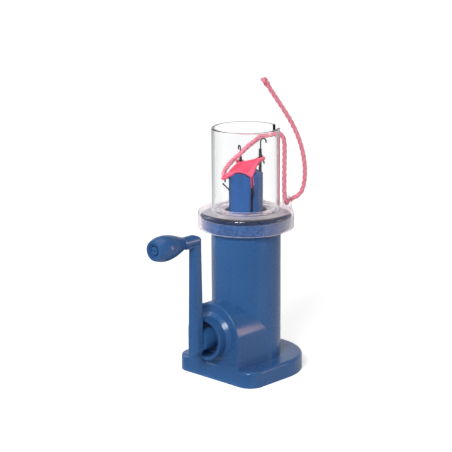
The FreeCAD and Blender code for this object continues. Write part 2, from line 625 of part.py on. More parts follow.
def make_eyelet():
    """A loop of rod on two legs that stand in the collar."""
    loop, leg = dim("eyelet_loop_radius"), dim("eyelet_leg")
    away, top, low = dim("eyelet_offset"), dim("collar_top"), dim("collar_top") - dim("eyelet_root")
    inner, outer = Vector(away - loop, 0, top + leg), Vector(away + loop, 0, top + leg)
    path = Part.Wire([Part.LineSegment(Vector(inner.x, 0, low), inner).toShape(),
                      Part.Arc(inner, Vector(away, 0, top + leg + loop), outer).toShape(),
                      Part.LineSegment(outer, Vector(outer.x, 0, low)).toShape()])
    solid_subpart("yarn_eyelet", rod_along(path, dim("eyelet_rod_radius")),
                  Placement(Vector(), bearing_turn("eyelet_bearing")))


# ---------------------------------------------------------------- crank
def make_crank():
    turned("crank_bush", [("shaft_radius + journal_clearance", "bush_start"), ("bush_radius", "bush_start"),
                          ("bush_radius", FACE), ("bush_flange_radius", FACE),
                          ("bush_flange_radius", f"{FACE} + bush_flange_thickness"),
                          ("shaft_radius + journal_clearance", f"{FACE} + bush_flange_thickness")],
           z="axle_height", rotation=OUTWARD)
    clip_end = "bush_start - end_play"
    clip_start = f"{clip_end} - clip_thickness"
    turned("crank_shaft", [("0", "shaft_start"), ("shaft_radius", "shaft_start"),
                           ("shaft_radius", f"{clip_start} - clip_fit"),
                           ("clip_groove_radius", f"{clip_start} - clip_fit"),
                           ("clip_groove_radius", f"{clip_end} + clip_fit"),
                           ("shaft_radius", f"{clip_end} + clip_fit"),
                           ("shaft_radius", "shaft_end"), ("0", "shaft_end")],
           z="axle_height", rotation=OUTWARD)
    clip_ring = ring("clip_ring", "clip_groove_radius + clip_fit", "clip_radius", clip_start, clip_end,
                     z="axle_height", rotation=OUTWARD)
    subparts.remove(clip_ring)
    mouth = block("clip_mouth", "2 * clip_groove_radius", f"clip_thickness + 2 * {PAST}",
                  f"clip_radius + {PAST}", "-clip_groove_radius", f"-({clip_end}) - {PAST}", "axle_height")
    subpart(cut("shaft_clip", clip_ring, mouth), "shaft_clip")

    side_view = doc.addObject("PartDesign::Body", "arm_side")
    arm_outer, top = "arm_inner + arm_depth", "axle_height + crank_throw + stub_radius"
    side = outline_sketch(side_view, "arm_side_outline", "YZ_Plane", [
        ("-arm_inner", "arm_foot"), ("-arm_inner", top), ("-stub_end", top),
        ("-stub_end", f"{top} - 2 * stub_radius"), (f"-({arm_outer})", f"{top} - 2 * stub_radius"),
        (f"-({arm_outer})", "arm_foot")])
    front_view = doc.addObject("PartDesign::Body", "arm_front")
    shoulder = f"{top} - 2 * stub_radius - arm_shoulder_drop"
    front = outline_sketch(front_view, "arm_front_outline", "XZ_Plane", [
        ("-arm_foot_width / 2", "arm_foot + arm_foot_width / 2"), ("-arm_foot_width / 4", "arm_foot"),
        ("arm_foot_width / 4", "arm_foot"), ("arm_foot_width / 2", "arm_foot + arm_foot_width / 2"),
        ("arm_top_width / 2", shoulder), ("arm_top_width / 2", "crank_throw + axle_height"),
        ("-arm_top_width / 2", "crank_throw + axle_height"), ("-arm_top_width / 2", shoulder)])
    for view, sketch, depth in ((side_view, side, "2 * arm_foot_width"), (front_view, front, "4 * stub_end")):
        pad = view.newObject("PartDesign::Pad", view.Name + "_pad")
        pad.Profile = sketch
        pad.SideType = "Symmetric"
        bind(pad, Length=depth)
    doc.recompute()
    bar = common("arm_bar", side_view, front_view)
    inner_face, outer_face = -dim("arm_inner"), -dim("arm_inner") - dim("arm_depth")
    shortest = dim("arm_foot_width") / 4

    def long_edge(edge):
        """True for an edge along the arm, in its inner or outer face."""
        box = edge.BoundBox
        away = min(abs(box.YMin - inner_face), abs(box.YMin - outer_face))
        return box.YLength < NEAR and box.ZLength > shortest and away < NEAR

    bar = rounded("arm_rounded", bar, dim("arm_edge_round"), long_edge)
    knob_z = "axle_height + crank_throw"
    stub = outward_cylinder("arm_stub", "stub_radius", "arm_inner", "stub_end", z=knob_z)
    stub = rounded("arm_elbow", stub, dim("elbow_round"), lambda edge: edge.BoundBox.YMin > inner_face - NEAR)
    hub = outward_cylinder("arm_hub", "hub_radius", f"{FACE} + bush_flange_thickness + end_play",
                           f"arm_inner + {SUNK}")
    bores = [outward_cylinder("arm_shaft_bore", "shaft_radius + gear_bore_fit", "bush_start",
                              "shaft_end + arm_bore_gap"),
             outward_cylinder("arm_screw_bore", "knob_screw_radius + gear_bore_fit",
                              "stub_end - knob_screw_reach", f"stub_end + {PAST}", z=knob_z)]
    bend_y, bend_z = "arm_inner + elbow_bend", f"{top} - elbow_bend"
    corner = block("elbow_corner", "2 * arm_foot_width", f"elbow_bend + {PAST}", f"elbow_bend + {PAST}",
                   "-arm_foot_width", f"-({bend_y})", bend_z)
    bend = cylinder("elbow_bend_form", "elbow_bend", f"2 * (arm_foot_width + {PAST})",
                    f"-arm_foot_width - {PAST}", f"-({bend_y})", bend_z, Rotation(Vector(0, 1, 0), 90))
    bores.append(cut("elbow_waste", corner, bend))
    subpart(cut("crank_arm", fuse("arm_blank", bar, stub, hub), *bores), "crank_arm")


def make_knob():
    """The knob turns on a screw in the stub; its outline is one smooth curve."""
    knob_z = "axle_height + crank_throw"
    washer_end = "stub_end + knob_washer_thickness"
    ring("knob_washer", "knob_screw_radius + journal_clearance", "knob_washer_radius",
         "stub_end", washer_end, z=knob_z, rotation=OUTWARD)
    screw_start = "stub_end - knob_screw_reach"
    head = f"{washer_end} + knob_length - knob_recess_depth + 2 * knob_play"
    head_end = f"{head} + knob_screw_head_height"
    blank = turned("knob_screw_blank",
                   [("0", screw_start), ("knob_screw_radius", screw_start), ("knob_screw_radius", head),
                    ("knob_screw_head_radius", head), ("knob_screw_head_radius", head_end), ("0", head_end)],
                   z=knob_z, rotation=OUTWARD)
    subparts.remove(blank)
    slot = block("knob_screw_slot", f"2 * (knob_screw_head_radius + {PAST})", f"screw_slot_depth + {PAST}",
                 "screw_slot_width", f"-knob_screw_head_radius - {PAST}", f"-({head_end}) - {PAST}",
                 f"{knob_z} - screw_slot_width / 2")
    subpart(cut("knob_screw", blank, slot), "knob_screw")

    length, bore = dim("knob_length"), dim("knob_screw_radius") + dim("journal_clearance")
    curve = Part.BSplineCurve()
    neck, end = Vector(dim("knob_neck_radius"), 0, 0), Vector(dim("knob_end_radius"), 0, length)
    waist = Vector(dim("knob_waist_radius"), 0, dim("knob_waist_share") * length)
    widest = Vector(dim("knob_radius"), 0, dim("knob_widest_share") * length)
    curve.interpolate(Points=[neck, waist, widest, end])
    recess, depth = dim("knob_recess_radius"), dim("knob_recess_depth")
    step, ledge = dim("knob_step_radius"), length - dim("knob_step_depth")
    corners = [end, Vector(recess, 0, length), Vector(recess, 0, ledge), Vector(step, 0, ledge),
               Vector(step, 0, length - depth),
               Vector(bore, 0, length - depth), Vector(bore, 0, 0), neck]
    edges = [curve.toShape()] + [Part.LineSegment(a, b).toShape() for a, b in zip(corners, corners[1:])]
    shape = Part.Face(Part.Wire(edges)).revolve(Vector(), Vector(0, 0, 1), 360)
    start = dim("stub_end") + dim("knob_washer_thickness") + dim("knob_play")
    neck_place = Vector(0, -start, dim("axle_height") + dim("crank_throw"))
    solid_subpart("knob", shape, Placement(neck_place, OUTWARD))


# ---------------------------------------------------------------- gears
def bevel_gear(label, teeth, mate_teeth, bore, back, hub_radius, first_tooth, rotation):
    """A straight bevel gear about its own +Z, with the shafts' meeting point at the origin.

    Heights are distances from that point. back is where the body or its hub ends.
    """
    pitch_radius = dim("gear_module") * teeth / 2
    pitch_angle = math.atan2(teeth, mate_teeth)
    outer = pitch_radius / math.sin(pitch_angle)
    inner = outer - dim("gear_face")
    tooth_height = dim("gear_addendum") * dim("gear_module")
    root_depth = dim("gear_dedendum") * dim("gear_module")
    half_pitch = math.pi * dim("gear_module") / 4 - dim("gear_backlash")
    slope = math.tan(math.radians(dim("gear_pressure_angle")))
    sunk = root_depth + float(SUNK)
    along = Vector(math.sin(pitch_angle), 0, math.cos(pitch_angle))
    across = Vector(math.cos(pitch_angle), 0, -math.sin(pitch_angle))

    def tooth_section(distance):
        scale = distance / outer
        corners = []
        for height, side in ((-sunk, -1), (tooth_height, -1), (tooth_height, 1), (-sunk, 1)):
            half = half_pitch - height * slope
            corners.append(along * distance + across * (height * scale) + Vector(0, side * half * scale, 0))
        return Part.makePolygon(corners + corners[:1])

    low_root = along * inner - across * (root_depth * inner / outer)
    high_root = along * outer - across * root_depth
    outline = [Vector(bore, 0, low_root.z), low_root, high_root]
    if hub_radius < high_root.x:
        step = high_root.z + dim("pinion_shoulder")
        outline += [Vector(high_root.x, 0, step), Vector(hub_radius, 0, step), Vector(hub_radius, 0, back)]
    else:
        outline += [Vector(high_root.x, 0, back)]
    outline += [Vector(bore, 0, back), Vector(bore, 0, low_root.z)]
    body = Part.Face(Part.makePolygon(outline)).revolve(Vector(), Vector(0, 0, 1), 360)
    tooth = Part.makeLoft([tooth_section(inner), tooth_section(outer)], True, True)
    copies = []
    for i in range(teeth):
        copy = tooth.copy()
        copy.rotate(Vector(), Vector(0, 0, 1), first_tooth + 360.0 * i / teeth)
        copies.append(copy)
    hole = Part.makeCylinder(bore, 4 * outer, Vector(0, 0, -outer))
    shape = body.fuse(copies).cut(hole).removeSplitter()
    return solid_subpart(label, shape, Placement(Vector(0, 0, dim("axle_height")), rotation))


def make_gears():
    pinion, wheel = int(dim("pinion_teeth")), int(dim("ring_gear_teeth"))
    bevel_gear("drive_pinion", pinion, wheel, dim("shaft_radius") + dim("gear_bore_fit"),
               dim("pinion_back"), dim("pinion_hub_radius"), -90 + 180.0 / pinion, OUTWARD)
    flange_top = dim("lower_bearing_top") + dim("washer_thickness") + dim("foot_flange_thickness")
    bevel_gear("ring_gear", wheel, pinion, dim("cylinder_radius") + dim("gear_bore_fit"),
               dim("axle_height") - flange_top, dim("base_radius"), 90, FLIPPED)


# ---------------------------------------------------------------- needle cylinder
def make_needle_cylinder():
    """The slotted cylinder, built with slot 1 towards +X and then turned to its bearing."""
    foot = "plate_recess + plate_thickness + cylinder_foot_gap"
    spring = "finger_top - finger_arch_radius"
    flange = "lower_bearing_top + washer_thickness"
    column = fuse("cylinder_column",
                  cylinder("cylinder_barrel", "cylinder_radius", f"{spring} - ({foot})", z=foot),
                  cylinder("foot_flange", "foot_flange_radius", "foot_flange_thickness", z=flange))
    fingers, slots = [], []
    for i in range(NEEDLE_COUNT):
        sector = cylinder(f"finger_sector_{i + 1}", "cylinder_radius", "finger_arch_radius", z=spring,
                          rotation=Rotation(Vector(0, 0, 1), 90 * i))
        sector.Angle = 90
        arch = cylinder(f"finger_arch_{i + 1}", "finger_arch_radius", f"cylinder_radius + {PAST}", z=spring,
                        rotation=Rotation(Vector(0, 0, 1), 90 * i + 45) * Rotation(Vector(0, 1, 0), 90))
        fingers.append(common(f"finger_{i + 1}", sector, arch))
        turn = Rotation(Vector(0, 0, 1), 90 * i)
        corner = Vector(dim("needle_slot_floor"), -dim("needle_slot_width") / 2, dim("needle_slot_bottom"))
        slot = doc.addObject("Part::Box", f"needle_slot_{i + 1}")
        bind(slot, Length=f"cylinder_radius - needle_slot_floor + {PAST}", Width="needle_slot_width",
             Height=f"finger_top - needle_slot_bottom + {PAST}")
        slot.Placement = Placement(turn.multVec(corner), turn)
        slots.append(slot)
    bore = cylinder("cylinder_bore", "cylinder_bore_radius", f"finger_top + 2 * {PAST}")
    body = cut("needle_cylinder", fuse("cylinder_fingered", column, *fingers), bore, *slots)
    body.Placement = Placement(Vector(), bearing_turn("needle_1_bearing"))
    return subpart(body, "needle_cylinder")


def make_knitted_cord():
    """The work: a cord in the bore that widens into the web hung on the needles."""
    cord = cylinder("cord_stem", "cord_radius", "web_start - cord_bottom", z="cord_bottom")
    flare = cone("cord_flare", "cord_radius", "web_radius", "web_full - web_start", z="web_start")
    web = cylinder("cord_web", "web_radius", "2 * web_radius", z="web_full")
    lean = Rotation(Vector(0, 0, 1), dim("web_high_bearing") - 90).multVec(Vector(1, 0, 0))
    above = cylinder("above_web", "4 * web_radius", "4 * web_radius", z="web_middle",
                     rotation=Rotation(lean, dim("web_slope")))
    return subpart(cut("knitted_cord", fuse("cord_blank", cord, flare, web), above), "knitted_cord")


# ---------------------------------------------------------------- latch needles
def needle_shape(top):
    """A needle in its own plane: x outwards from the cylinder's axis, z up, at its rest height."""
    back, depth, thick = dim("needle_back"), dim("needle_depth"), dim("needle_thickness")
    butt_low = top - dim("needle_length") - dim("butt_height") / 2
    stem_top = top - dim("stem_shoulder")
    corner = Vector(back, -thick / 2, butt_low)
    stem = Part.makeBox(depth, thick, stem_top - butt_low, corner)
    butt = Part.makeBox(dim("butt_reach") - back, thick, dim("butt_height"), corner)
    wire, bend = dim("hook_wire_radius"), dim("hook_bend_radius")
    rise = Vector(back + depth - wire - dim("hook_inset"), 0, top - wire - bend)
    fall = rise + Vector(2 * bend, 0, 0)
    tip = fall - Vector(0, 0, dim("hook_tip_drop"))
    hook = Part.Wire([Part.LineSegment(Vector(rise.x, 0, stem_top - dim("hook_root")), rise).toShape(),
                      Part.Arc(rise, rise + Vector(bend, 0, bend), fall).toShape(),
                      Part.LineSegment(fall, tip).toShape()])
    pivot = Vector(dim("latch_pivot_offset"), 0, top - dim("latch_pivot_drop"))
    slit_floor = pivot.x - dim("latch_root_radius") - dim("latch_slit_gap")
    slit_low = dim("latch_length") + dim("latch_slit_below")
    slit = Part.makeBox(depth, dim("latch_slit"), slit_low + dim("latch_slit_above"),
                        Vector(slit_floor, -dim("latch_slit") / 2, pivot.z - slit_low))
    pin_end = pivot - Vector(0, thick, 0)
    pin_hole = Part.makeCylinder(dim("latch_pin_radius"), 2 * thick, pin_end, Vector(0, 1, 0))
    blank = stem.fuse([butt, rod_along(hook, wire), Part.makeSphere(wire, tip)])
    return blank.cut([slit, pin_hole]).removeSplitter()


def latch_shape():
    """A latch about its own pivot, pointing up."""
    width, thick, length = dim("latch_width"), dim("latch_thickness"), dim("latch_length")
    root = Part.makeCylinder(dim("latch_root_radius"), thick, Vector(0, -thick / 2, 0), Vector(0, 1, 0))
    blade = Part.makeBox(width, thick, length - dim("latch_spoon_radius"), Vector(-width / 2, -thick / 2, 0))
    spoon = Part.makeSphere(dim("latch_spoon_radius"), Vector(0, 0, length - dim("latch_spoon_radius")))
    hole = Part.makeCylinder(dim("latch_pin_radius") + dim("latch_pin_clearance"), 4 * thick,
                             Vector(0, -2 * thick, 0), Vector(0, 1, 0))
    return root.fuse([blade, spoon]).cut(hole).removeSplitter()


def make_needles():
    for i in range(NEEDLE_COUNT):
        number = i + 1
        top = dim(f"needle_{number}_top")
        turn = Rotation(Vector(0, 0, 1), dim("needle_1_bearing") + 360.0 / NEEDLE_COUNT * i)
        pivot = Vector(dim("latch_pivot_offset"), 0, top - dim("latch_pivot_drop"))
        thick = dim("needle_thickness")
        solid_subpart(f"needle_{number}", needle_shape(top), Placement(Vector(), turn))
        pin_end = pivot - Vector(0, thick / 2, 0)
        pin = Part.makeCylinder(dim("latch_pin_radius"), thick, pin_end, Vector(0, 1, 0))
        solid_subpart(f"latch_pin_{number}", pin, Placement(Vector(), turn))
        swing = Rotation(Vector(0, 1, 0), LATCH_REST_ANGLES[i])
        solid_subpart(f"latch_{number}", latch_shape(), Placement(turn.multVec(pivot), turn * swing))


# ---------------------------------------------------------------- yarn
def route_wire(points):
    """Straight runs joined by tangent arcs; each arc is as large as its two runs allow."""
    points = [Vector(*point) for point in points]
    edges, here = [], points[0]
    for before, corner, after in zip(points, points[1:], points[2:]):
        first, second = corner - before, after - corner
        shorter = min(first.Length, second.Length)
        turn = first.getAngle(second)
        trim = 0.45 * shorter
        radius = trim / math.tan(turn / 2)
        print(f"yarn bend at {corner.x:.1f} {corner.y:.1f} {corner.z:.1f}: radius {radius:.1f}, "
              f"turn {math.degrees(turn):.0f}")
        first.normalize()
        second.normalize()
        start, end = corner - first * trim, corner + second * trim
        towards = second - first
        towards.normalize()
        middle = corner + towards * (radius / math.cos(turn / 2) - radius)
        edges += [Part.LineSegment(here, start).toShape(), Part.Arc(start, middle, end).toShape()]
        here = end
    edges.append(Part.LineSegment(here, points[-1]).toShape())
    return Part.Wire(edges)


def make_yarn():
    path = route_wire(YARN_ROUTE)
    radius = dim("yarn_diameter") / 2
    tube = rod_along(path, radius)
    print(f"yarn length {path.Length:.1f}, volume {tube.Volume:.1f}, "
          f"section times length {math.pi * radius ** 2 * path.Length:.1f}")
    solid_subpart("yarn", tube)
    end, before = Vector(*YARN_ROUTE[-1]), Vector(*YARN_ROUTE[-2])
    along = end - before
    along.normalize()
    knot = Part.makeSphere(dim("knot_radius"), end + along * dim("knot_radius"))
    half = Part.makeCylinder(4 * radius, 4 * radius, end, along)
    seat = math.sqrt(dim("knot_radius") ** 2 - radius ** 2)
    knot.translate(along * (seat - dim("knot_radius")))
    solid_subpart("yarn_knot", knot.common(half))


# ---------------------------------------------------------------- the whole
make_housing()
make_bottom_plate()
make_plate_screws()
make_bearings()
make_cams()
make_clear_parts()
make_eyelet()
make_crank()
make_knob()
make_gears()
make_needle_cylinder()
make_knitted_cord()
make_needles()
make_yarn()
doc.recompute()

broken = [f"{item.Label}: {item.State}" for item in doc.Objects if {"Invalid", "Error"} & set(item.State)]
broken += [f"{item.Label}: no sound shape" for item in subparts
           if item.Shape.isNull() or not item.Shape.isValid()]
if broken:
    raise RuntimeError("; ".join(broken))
os.makedirs("parts", exist_ok=True)
for item in subparts:
    item.Shape.exportStep(os.path.join("parts", item.Label + ".step"))
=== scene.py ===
"""The hand-cranked i-cord maker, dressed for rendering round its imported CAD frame.

Every length here is in metres, in the CAD frame: the origin is on the needle
cylinder's axis, in the plane that the base stands on, and the crank is on the -Y side.
"""
import math

import bmesh
import bpy
from mathutils import Matrix, Quaternion, Vector


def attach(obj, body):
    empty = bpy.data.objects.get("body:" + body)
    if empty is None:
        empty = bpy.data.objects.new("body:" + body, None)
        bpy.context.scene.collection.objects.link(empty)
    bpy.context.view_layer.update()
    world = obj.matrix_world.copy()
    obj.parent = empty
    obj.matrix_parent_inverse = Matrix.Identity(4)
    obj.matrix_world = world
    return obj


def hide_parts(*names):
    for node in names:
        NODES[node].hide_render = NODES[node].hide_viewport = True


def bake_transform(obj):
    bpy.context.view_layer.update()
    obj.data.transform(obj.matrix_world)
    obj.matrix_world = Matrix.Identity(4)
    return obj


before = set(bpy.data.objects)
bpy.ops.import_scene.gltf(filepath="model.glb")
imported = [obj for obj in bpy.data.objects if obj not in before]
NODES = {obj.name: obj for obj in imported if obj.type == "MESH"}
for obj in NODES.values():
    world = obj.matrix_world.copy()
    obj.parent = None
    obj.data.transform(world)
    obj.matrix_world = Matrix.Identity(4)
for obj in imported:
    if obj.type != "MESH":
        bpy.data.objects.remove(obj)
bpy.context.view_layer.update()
MM = 0.001
COLLECTION = bpy.context.scene.collection


# ---------------------------------------------------------------- shader helpers
def srgb(red, green, blue):
    """A colour given as 0 to 255 in the way that screens show it, as a linear colour with its alpha."""
    def linear(value):
        value /= 255
        return value / 12.92 if value <= 0.04045 else ((value + 0.055) / 1.055) ** 2.4

    return (linear(red), linear(green), linear(blue), 1.0)


def add_node(tree, kind, values=None, **settings):
    """A shader node; each value goes to the input of that name or number, as a link if it is a socket."""
    made = tree.nodes.new("ShaderNode" + kind)
    for name, setting in settings.items():
        setattr(made, name, setting)
    for name, value in (values or {}).items():
        if isinstance(value, bpy.types.NodeSocket):
            tree.links.new(value, made.inputs[name])
        else:
            made.inputs[name].default_value = value
    return made


def new_group(name, inputs, outputs):
    """A shader node group with named inputs (name, kind, value) and outputs (name, kind)."""
    tree = bpy.data.node_groups.new(name, "ShaderNodeTree")
    for label, kind, value in inputs:
        socket = tree.interface.new_socket(label, in_out="INPUT", socket_type="NodeSocket" + kind)
        socket.default_value = value
    for label, kind in outputs:
        tree.interface.new_socket(label, in_out="OUTPUT", socket_type="NodeSocket" + kind)
    start = tree.nodes.new("NodeGroupInput")
    end = tree.nodes.new("NodeGroupOutput")
    return tree, start.outputs, end


def place_group(tree, group, values):
    """One use of a group in a material, with that material's own values."""
    made = tree.nodes.new("ShaderNodeGroup")
    made.node_tree = group
    for name, value in values.items():
        made.inputs[name].default_value = value
    return made.outputs


def noise(tree, vector, scale, detail=2.0, roughness=0.5, distortion=0.0):
    """A noise value; scale is in cells per metre."""
    values = {"Vector": vector, "Scale": scale, "Detail": detail, "Roughness": roughness,
              "Distortion": distortion}
    return add_node(tree, "TexNoise", values).outputs["Fac"]


def object_space(tree, stretch=None, turn=(0, 0, 0)):
    """Object coordinates, stretched and turned where a pattern has a direction."""
    place = add_node(tree, "TexCoord").outputs["Object"]
    if stretch is None:
        return place
    return add_node(tree, "Mapping", {"Vector": place, "Rotation": turn, "Scale": stretch}).outputs["Vector"]


def remap(tree, value, low, high, out_low, out_high):
    """The value's range low to high, stretched to out_low to out_high and cut off there."""
    values = {"Value": value, "From Min": low, "From Max": high, "To Min": out_low, "To Max": out_high}
    return add_node(tree, "MapRange", values).outputs["Result"]


def math_node(tree, operation, first, second):
    return add_node(tree, "Math", {0: first, 1: second}, operation=operation).outputs[0]


def blend_colour(tree, share, first, second, mode="MIX"):
    """A colour between two; a Mix node's inputs 6 and 7 and its output 2 are the ones for colours."""
    values = {0: share, 6: first, 7: second}
    return add_node(tree, "Mix", values, data_type="RGBA", blend_type=mode).outputs[2]


# ---------------------------------------------------------------- shared surface effects
# the size of each pattern, in cells per metre
FLOW_CELLS = 26.0
WEAR_CELLS = 90.0
GRAIN_CELLS = 2600.0
PEEL_CELLS = 900.0
HAIR_CELLS = 5200.0
TUFT_CELLS = 1100.0
DRAWN_LINE_CELLS = 6000.0
TARNISH_CELLS = 420.0
SMEAR_CELLS = 75.0
PAINTED_REFLECTION_CELLS = 420.0
SCUFF_CELLS = 2300.0
WHITE = (1.0, 1.0, 1.0, 1.0)


def moulded_skin_group():
    """Moulded plastic: flow marks in the tone, gloss dulled by handling, a faint orange peel."""
    tree, given, end = new_group(
        "moulded_skin",
        [("Colour", "Color", (0.5, 0.5, 0.5, 1)), ("Deep colour", "Color", (0.3, 0.3, 0.3, 1)),
         ("Roughness", "Float", 0.3), ("Handling", "Float", 0.1)],
        [("Colour", "Color"), ("Roughness", "Float"), ("Height", "Float")])
    place = object_space(tree)
    flow = noise(tree, object_space(tree, (1.0, 1.0, 0.6)), FLOW_CELLS)
    share = remap(tree, flow, 0.3, 0.7, 0.0, 1.0)
    colour = blend_colour(tree, share, given["Colour"], given["Deep colour"])
    grain = remap(tree, noise(tree, place, GRAIN_CELLS), 0.35, 0.65, 0.0, 0.06)
    colour = blend_colour(tree, grain, colour, WHITE, "OVERLAY")
    worn = remap(tree, noise(tree, place, WEAR_CELLS, 4.0, 0.65), 0.45, 0.7, 0.0, 1.0)
    dulled = math_node(tree, "MULTIPLY", worn, given["Handling"])
    gloss = math_node(tree, "ADD", given["Roughness"], dulled)
    peel = noise(tree, place, PEEL_CELLS, 1.0)
    tree.links.new(colour, end.inputs["Colour"])
    tree.links.new(gloss, end.inputs["Roughness"])
    tree.links.new(peel, end.inputs["Height"])
    return tree


def fibre_group():
    """Spun fibres: lighter and darker hairs over the base colour, and their height."""
    tree, given, end = new_group(
        "fibres",
        [("Colour", "Color", (0.8, 0.2, 0.3, 1)), ("Shade colour", "Color", (0.5, 0.1, 0.15, 1)),
         ("Light colour", "Color", (1.0, 0.5, 0.6, 1))],
        [("Colour", "Color"), ("Height", "Float")])
    hairs = noise(tree, object_space(tree, (1.0, 1.0, 0.25), (0.6, 0.2, 0.5)), HAIR_CELLS, 3.0, 0.7, 0.6)
    tufts = noise(tree, object_space(tree), TUFT_CELLS, 3.0, 0.6)
    shaded = remap(tree, tufts, 0.38, 0.66, 0.0, 0.75)
    lit = remap(tree, hairs, 0.52, 0.72, 0.0, 0.6)
    colour = blend_colour(tree, shaded, given["Colour"], given["Shade colour"])
    colour = blend_colour(tree, lit, colour, given["Light colour"])
    tree.links.new(colour, end.inputs["Colour"])
    tree.links.new(math_node(tree, "ADD", hairs, tufts), end.inputs["Height"])
    return tree


def drawn_metal_group():
    """Drawn and polished steel: fine lines along the piece and a slight tarnish."""
    tree, given, end = new_group(
        "drawn_metal",
        [("Colour", "Color", (0.6, 0.6, 0.6, 1)), ("Tarnish", "Color", (0.3, 0.28, 0.25, 1)),
         ("Roughness", "Float", 0.25)],
        [("Colour", "Color"), ("Roughness", "Float"), ("Height", "Float")])
    lines = noise(tree, object_space(tree, (1.0, 1.0, 0.02)), DRAWN_LINE_CELLS, 2.0, 0.6)
    spots = remap(tree, noise(tree, object_space(tree), TARNISH_CELLS, 4.0, 0.65), 0.5, 0.75, 0.0, 0.6)
    tree.links.new(blend_colour(tree, spots, given["Colour"], given["Tarnish"]), end.inputs["Colour"])
    gloss = math_node(tree, "ADD", given["Roughness"], remap(tree, lines, 0.3, 0.7, -0.06, 0.1))
    tree.links.new(gloss, end.inputs["Roughness"])
    tree.links.new(lines, end.inputs["Height"])
    return tree


MOULDED_SKIN = moulded_skin_group()
FIBRES = fibre_group()
DRAWN_METAL = drawn_metal_group()


# ---------------------------------------------------------------- materials
# how much handling dulls the plastic, and the real depth of each relief
HANDLING = 0.07
PEEL_DEPTH = 0.011 * MM
DRAWN_LINE_DEPTH = 0.004 * MM
HAIR_DEPTH = 0.09 * MM
COAT_RIPPLE = 1.6


def new_material(name):
    made = bpy.data.materials.new(name)
    made.use_nodes = True
    return made, made.node_tree, made.node_tree.nodes["Principled BSDF"]


def set_shader(shader, values):
    """Sets the values that are the same all over a surface on the shader itself."""
    for name, value in values.items():
        shader.inputs[name].default_value = value


def bumped(tree, shader, height, depth, normal="Normal"):
    """Feeds a height into one of the shader's normals; depth is the real height in metres."""
    bump = add_node(tree, "Bump", {"Height": height, "Distance": depth, "Strength": 1.0})
    tree.links.new(bump.outputs["Normal"], shader.inputs[normal])


def moulded_plastic(name, colour, deep, roughness):
    """Moulded plastic with a thin glossy skin over its coloured body."""
    made, tree, shader = new_material(name)
    skin = place_group(tree, MOULDED_SKIN, {"Colour": colour, "Deep colour": deep, "Roughness": roughness,
                                            "Handling": HANDLING})
    tree.links.new(skin["Colour"], shader.inputs["Base Color"])
    tree.links.new(skin["Roughness"], shader.inputs["Roughness"])
    bumped(tree, shader, skin["Height"], PEEL_DEPTH)
    set_shader(shader, {"IOR": 1.5, "Specular IOR Level": 0.18, "Coat Weight": 0.3, "Coat IOR": 1.5,
                        "Coat Roughness": 0.1})
    return made


def clear_plastic(name, colour, edge_colour, roughness, ripple_depth, ripple_cells, ior, coat, haze,
                  shadow_share, haze_spread=0.3, haze_painted_tint=WHITE, painted_reflection_colour=None):
    """Clear moulded plastic, darker along its wall; shadow_share of the shadow rays stop at it.

    Its haze is a milky sheen at the edges, whose tint, where it is not white, is a painted reflection of pink
    surroundings; its patches of another tint are painted reflection too, standing in for mottled reflections.
    """
    made, tree, shader = new_material(name)
    set_shader(shader, {"Transmission Weight": 1.0, "IOR": ior, "Coat Weight": coat, "Coat IOR": 1.5,
                        "Coat Roughness": 0.08, "Sheen Weight": haze, "Sheen Roughness": haze_spread,
                        "Sheen Tint": haze_painted_tint})
    place = object_space(tree)
    scuffs = noise(tree, object_space(tree, (1.0, 1.0, 0.04), (0.3, 0.6, 0.1)), SCUFF_CELLS, 2.0, 0.6)
    smears = noise(tree, place, SMEAR_CELLS, 3.0, 0.6, 0.6)
    gloss = math_node(tree, "ADD", remap(tree, smears, 0.4, 0.7, roughness, roughness + 0.05),
                      remap(tree, scuffs, 0.68, 0.76, 0.0, 0.15))
    tree.links.new(gloss, shader.inputs["Roughness"])
    facing = add_node(tree, "LayerWeight", {"Blend": 0.5}).outputs["Facing"]
    edge = remap(tree, facing, 0.72, 0.98, 0.0, 1.0)
    # painted reflection: faint patches of a darker tint that stand in for mottled reflections on the plastic
    if painted_reflection_colour:
        painted_reflection_patches = remap(tree, noise(tree, place, PAINTED_REFLECTION_CELLS, 3.0, 0.6), 0.46, 0.6, 0.0, 1.0)
        colour = blend_colour(tree, painted_reflection_patches, colour, painted_reflection_colour)
    tree.links.new(blend_colour(tree, edge, colour, edge_colour), shader.inputs["Base Color"])
    ripple = noise(tree, place, ripple_cells, 2.0, 0.6)
    bumped(tree, shader, ripple, ripple_depth)
    bumped(tree, shader, ripple, ripple_depth * COAT_RIPPLE, "Coat Normal")
    shadow = add_node(tree, "LightPath").outputs["Is Shadow Ray"]
    tree.links.new(remap(tree, shadow, 0.0, 1.0, 1.0, shadow_share), shader.inputs["Alpha"])
    return made


def steel(name, colour, tarnish, roughness):
    made, tree, shader = new_material(name)
    skin = place_group(tree, DRAWN_METAL, {"Colour": colour, "Tarnish": tarnish, "Roughness": roughness})
    tree.links.new(skin["Colour"], shader.inputs["Base Color"])
    tree.links.new(skin["Roughness"], shader.inputs["Roughness"])
    bumped(tree, shader, skin["Height"], DRAWN_LINE_DEPTH)
    set_shader(shader, {"Metallic": 1.0})
    return made


def spun_yarn(name, colour, shade, light):
    made, tree, shader = new_material(name)
    hairs = place_group(tree, FIBRES, {"Colour": colour, "Shade colour": shade, "Light colour": light})
    tree.links.new(hairs["Colour"], shader.inputs["Base Color"])
    bumped(tree, shader, hairs["Height"], HAIR_DEPTH)
    set_shader(shader, {"Roughness": 0.82, "Sheen Weight": 0.35, "Sheen Roughness": 0.4,
                        "Specular IOR Level": 0.25})
    return made


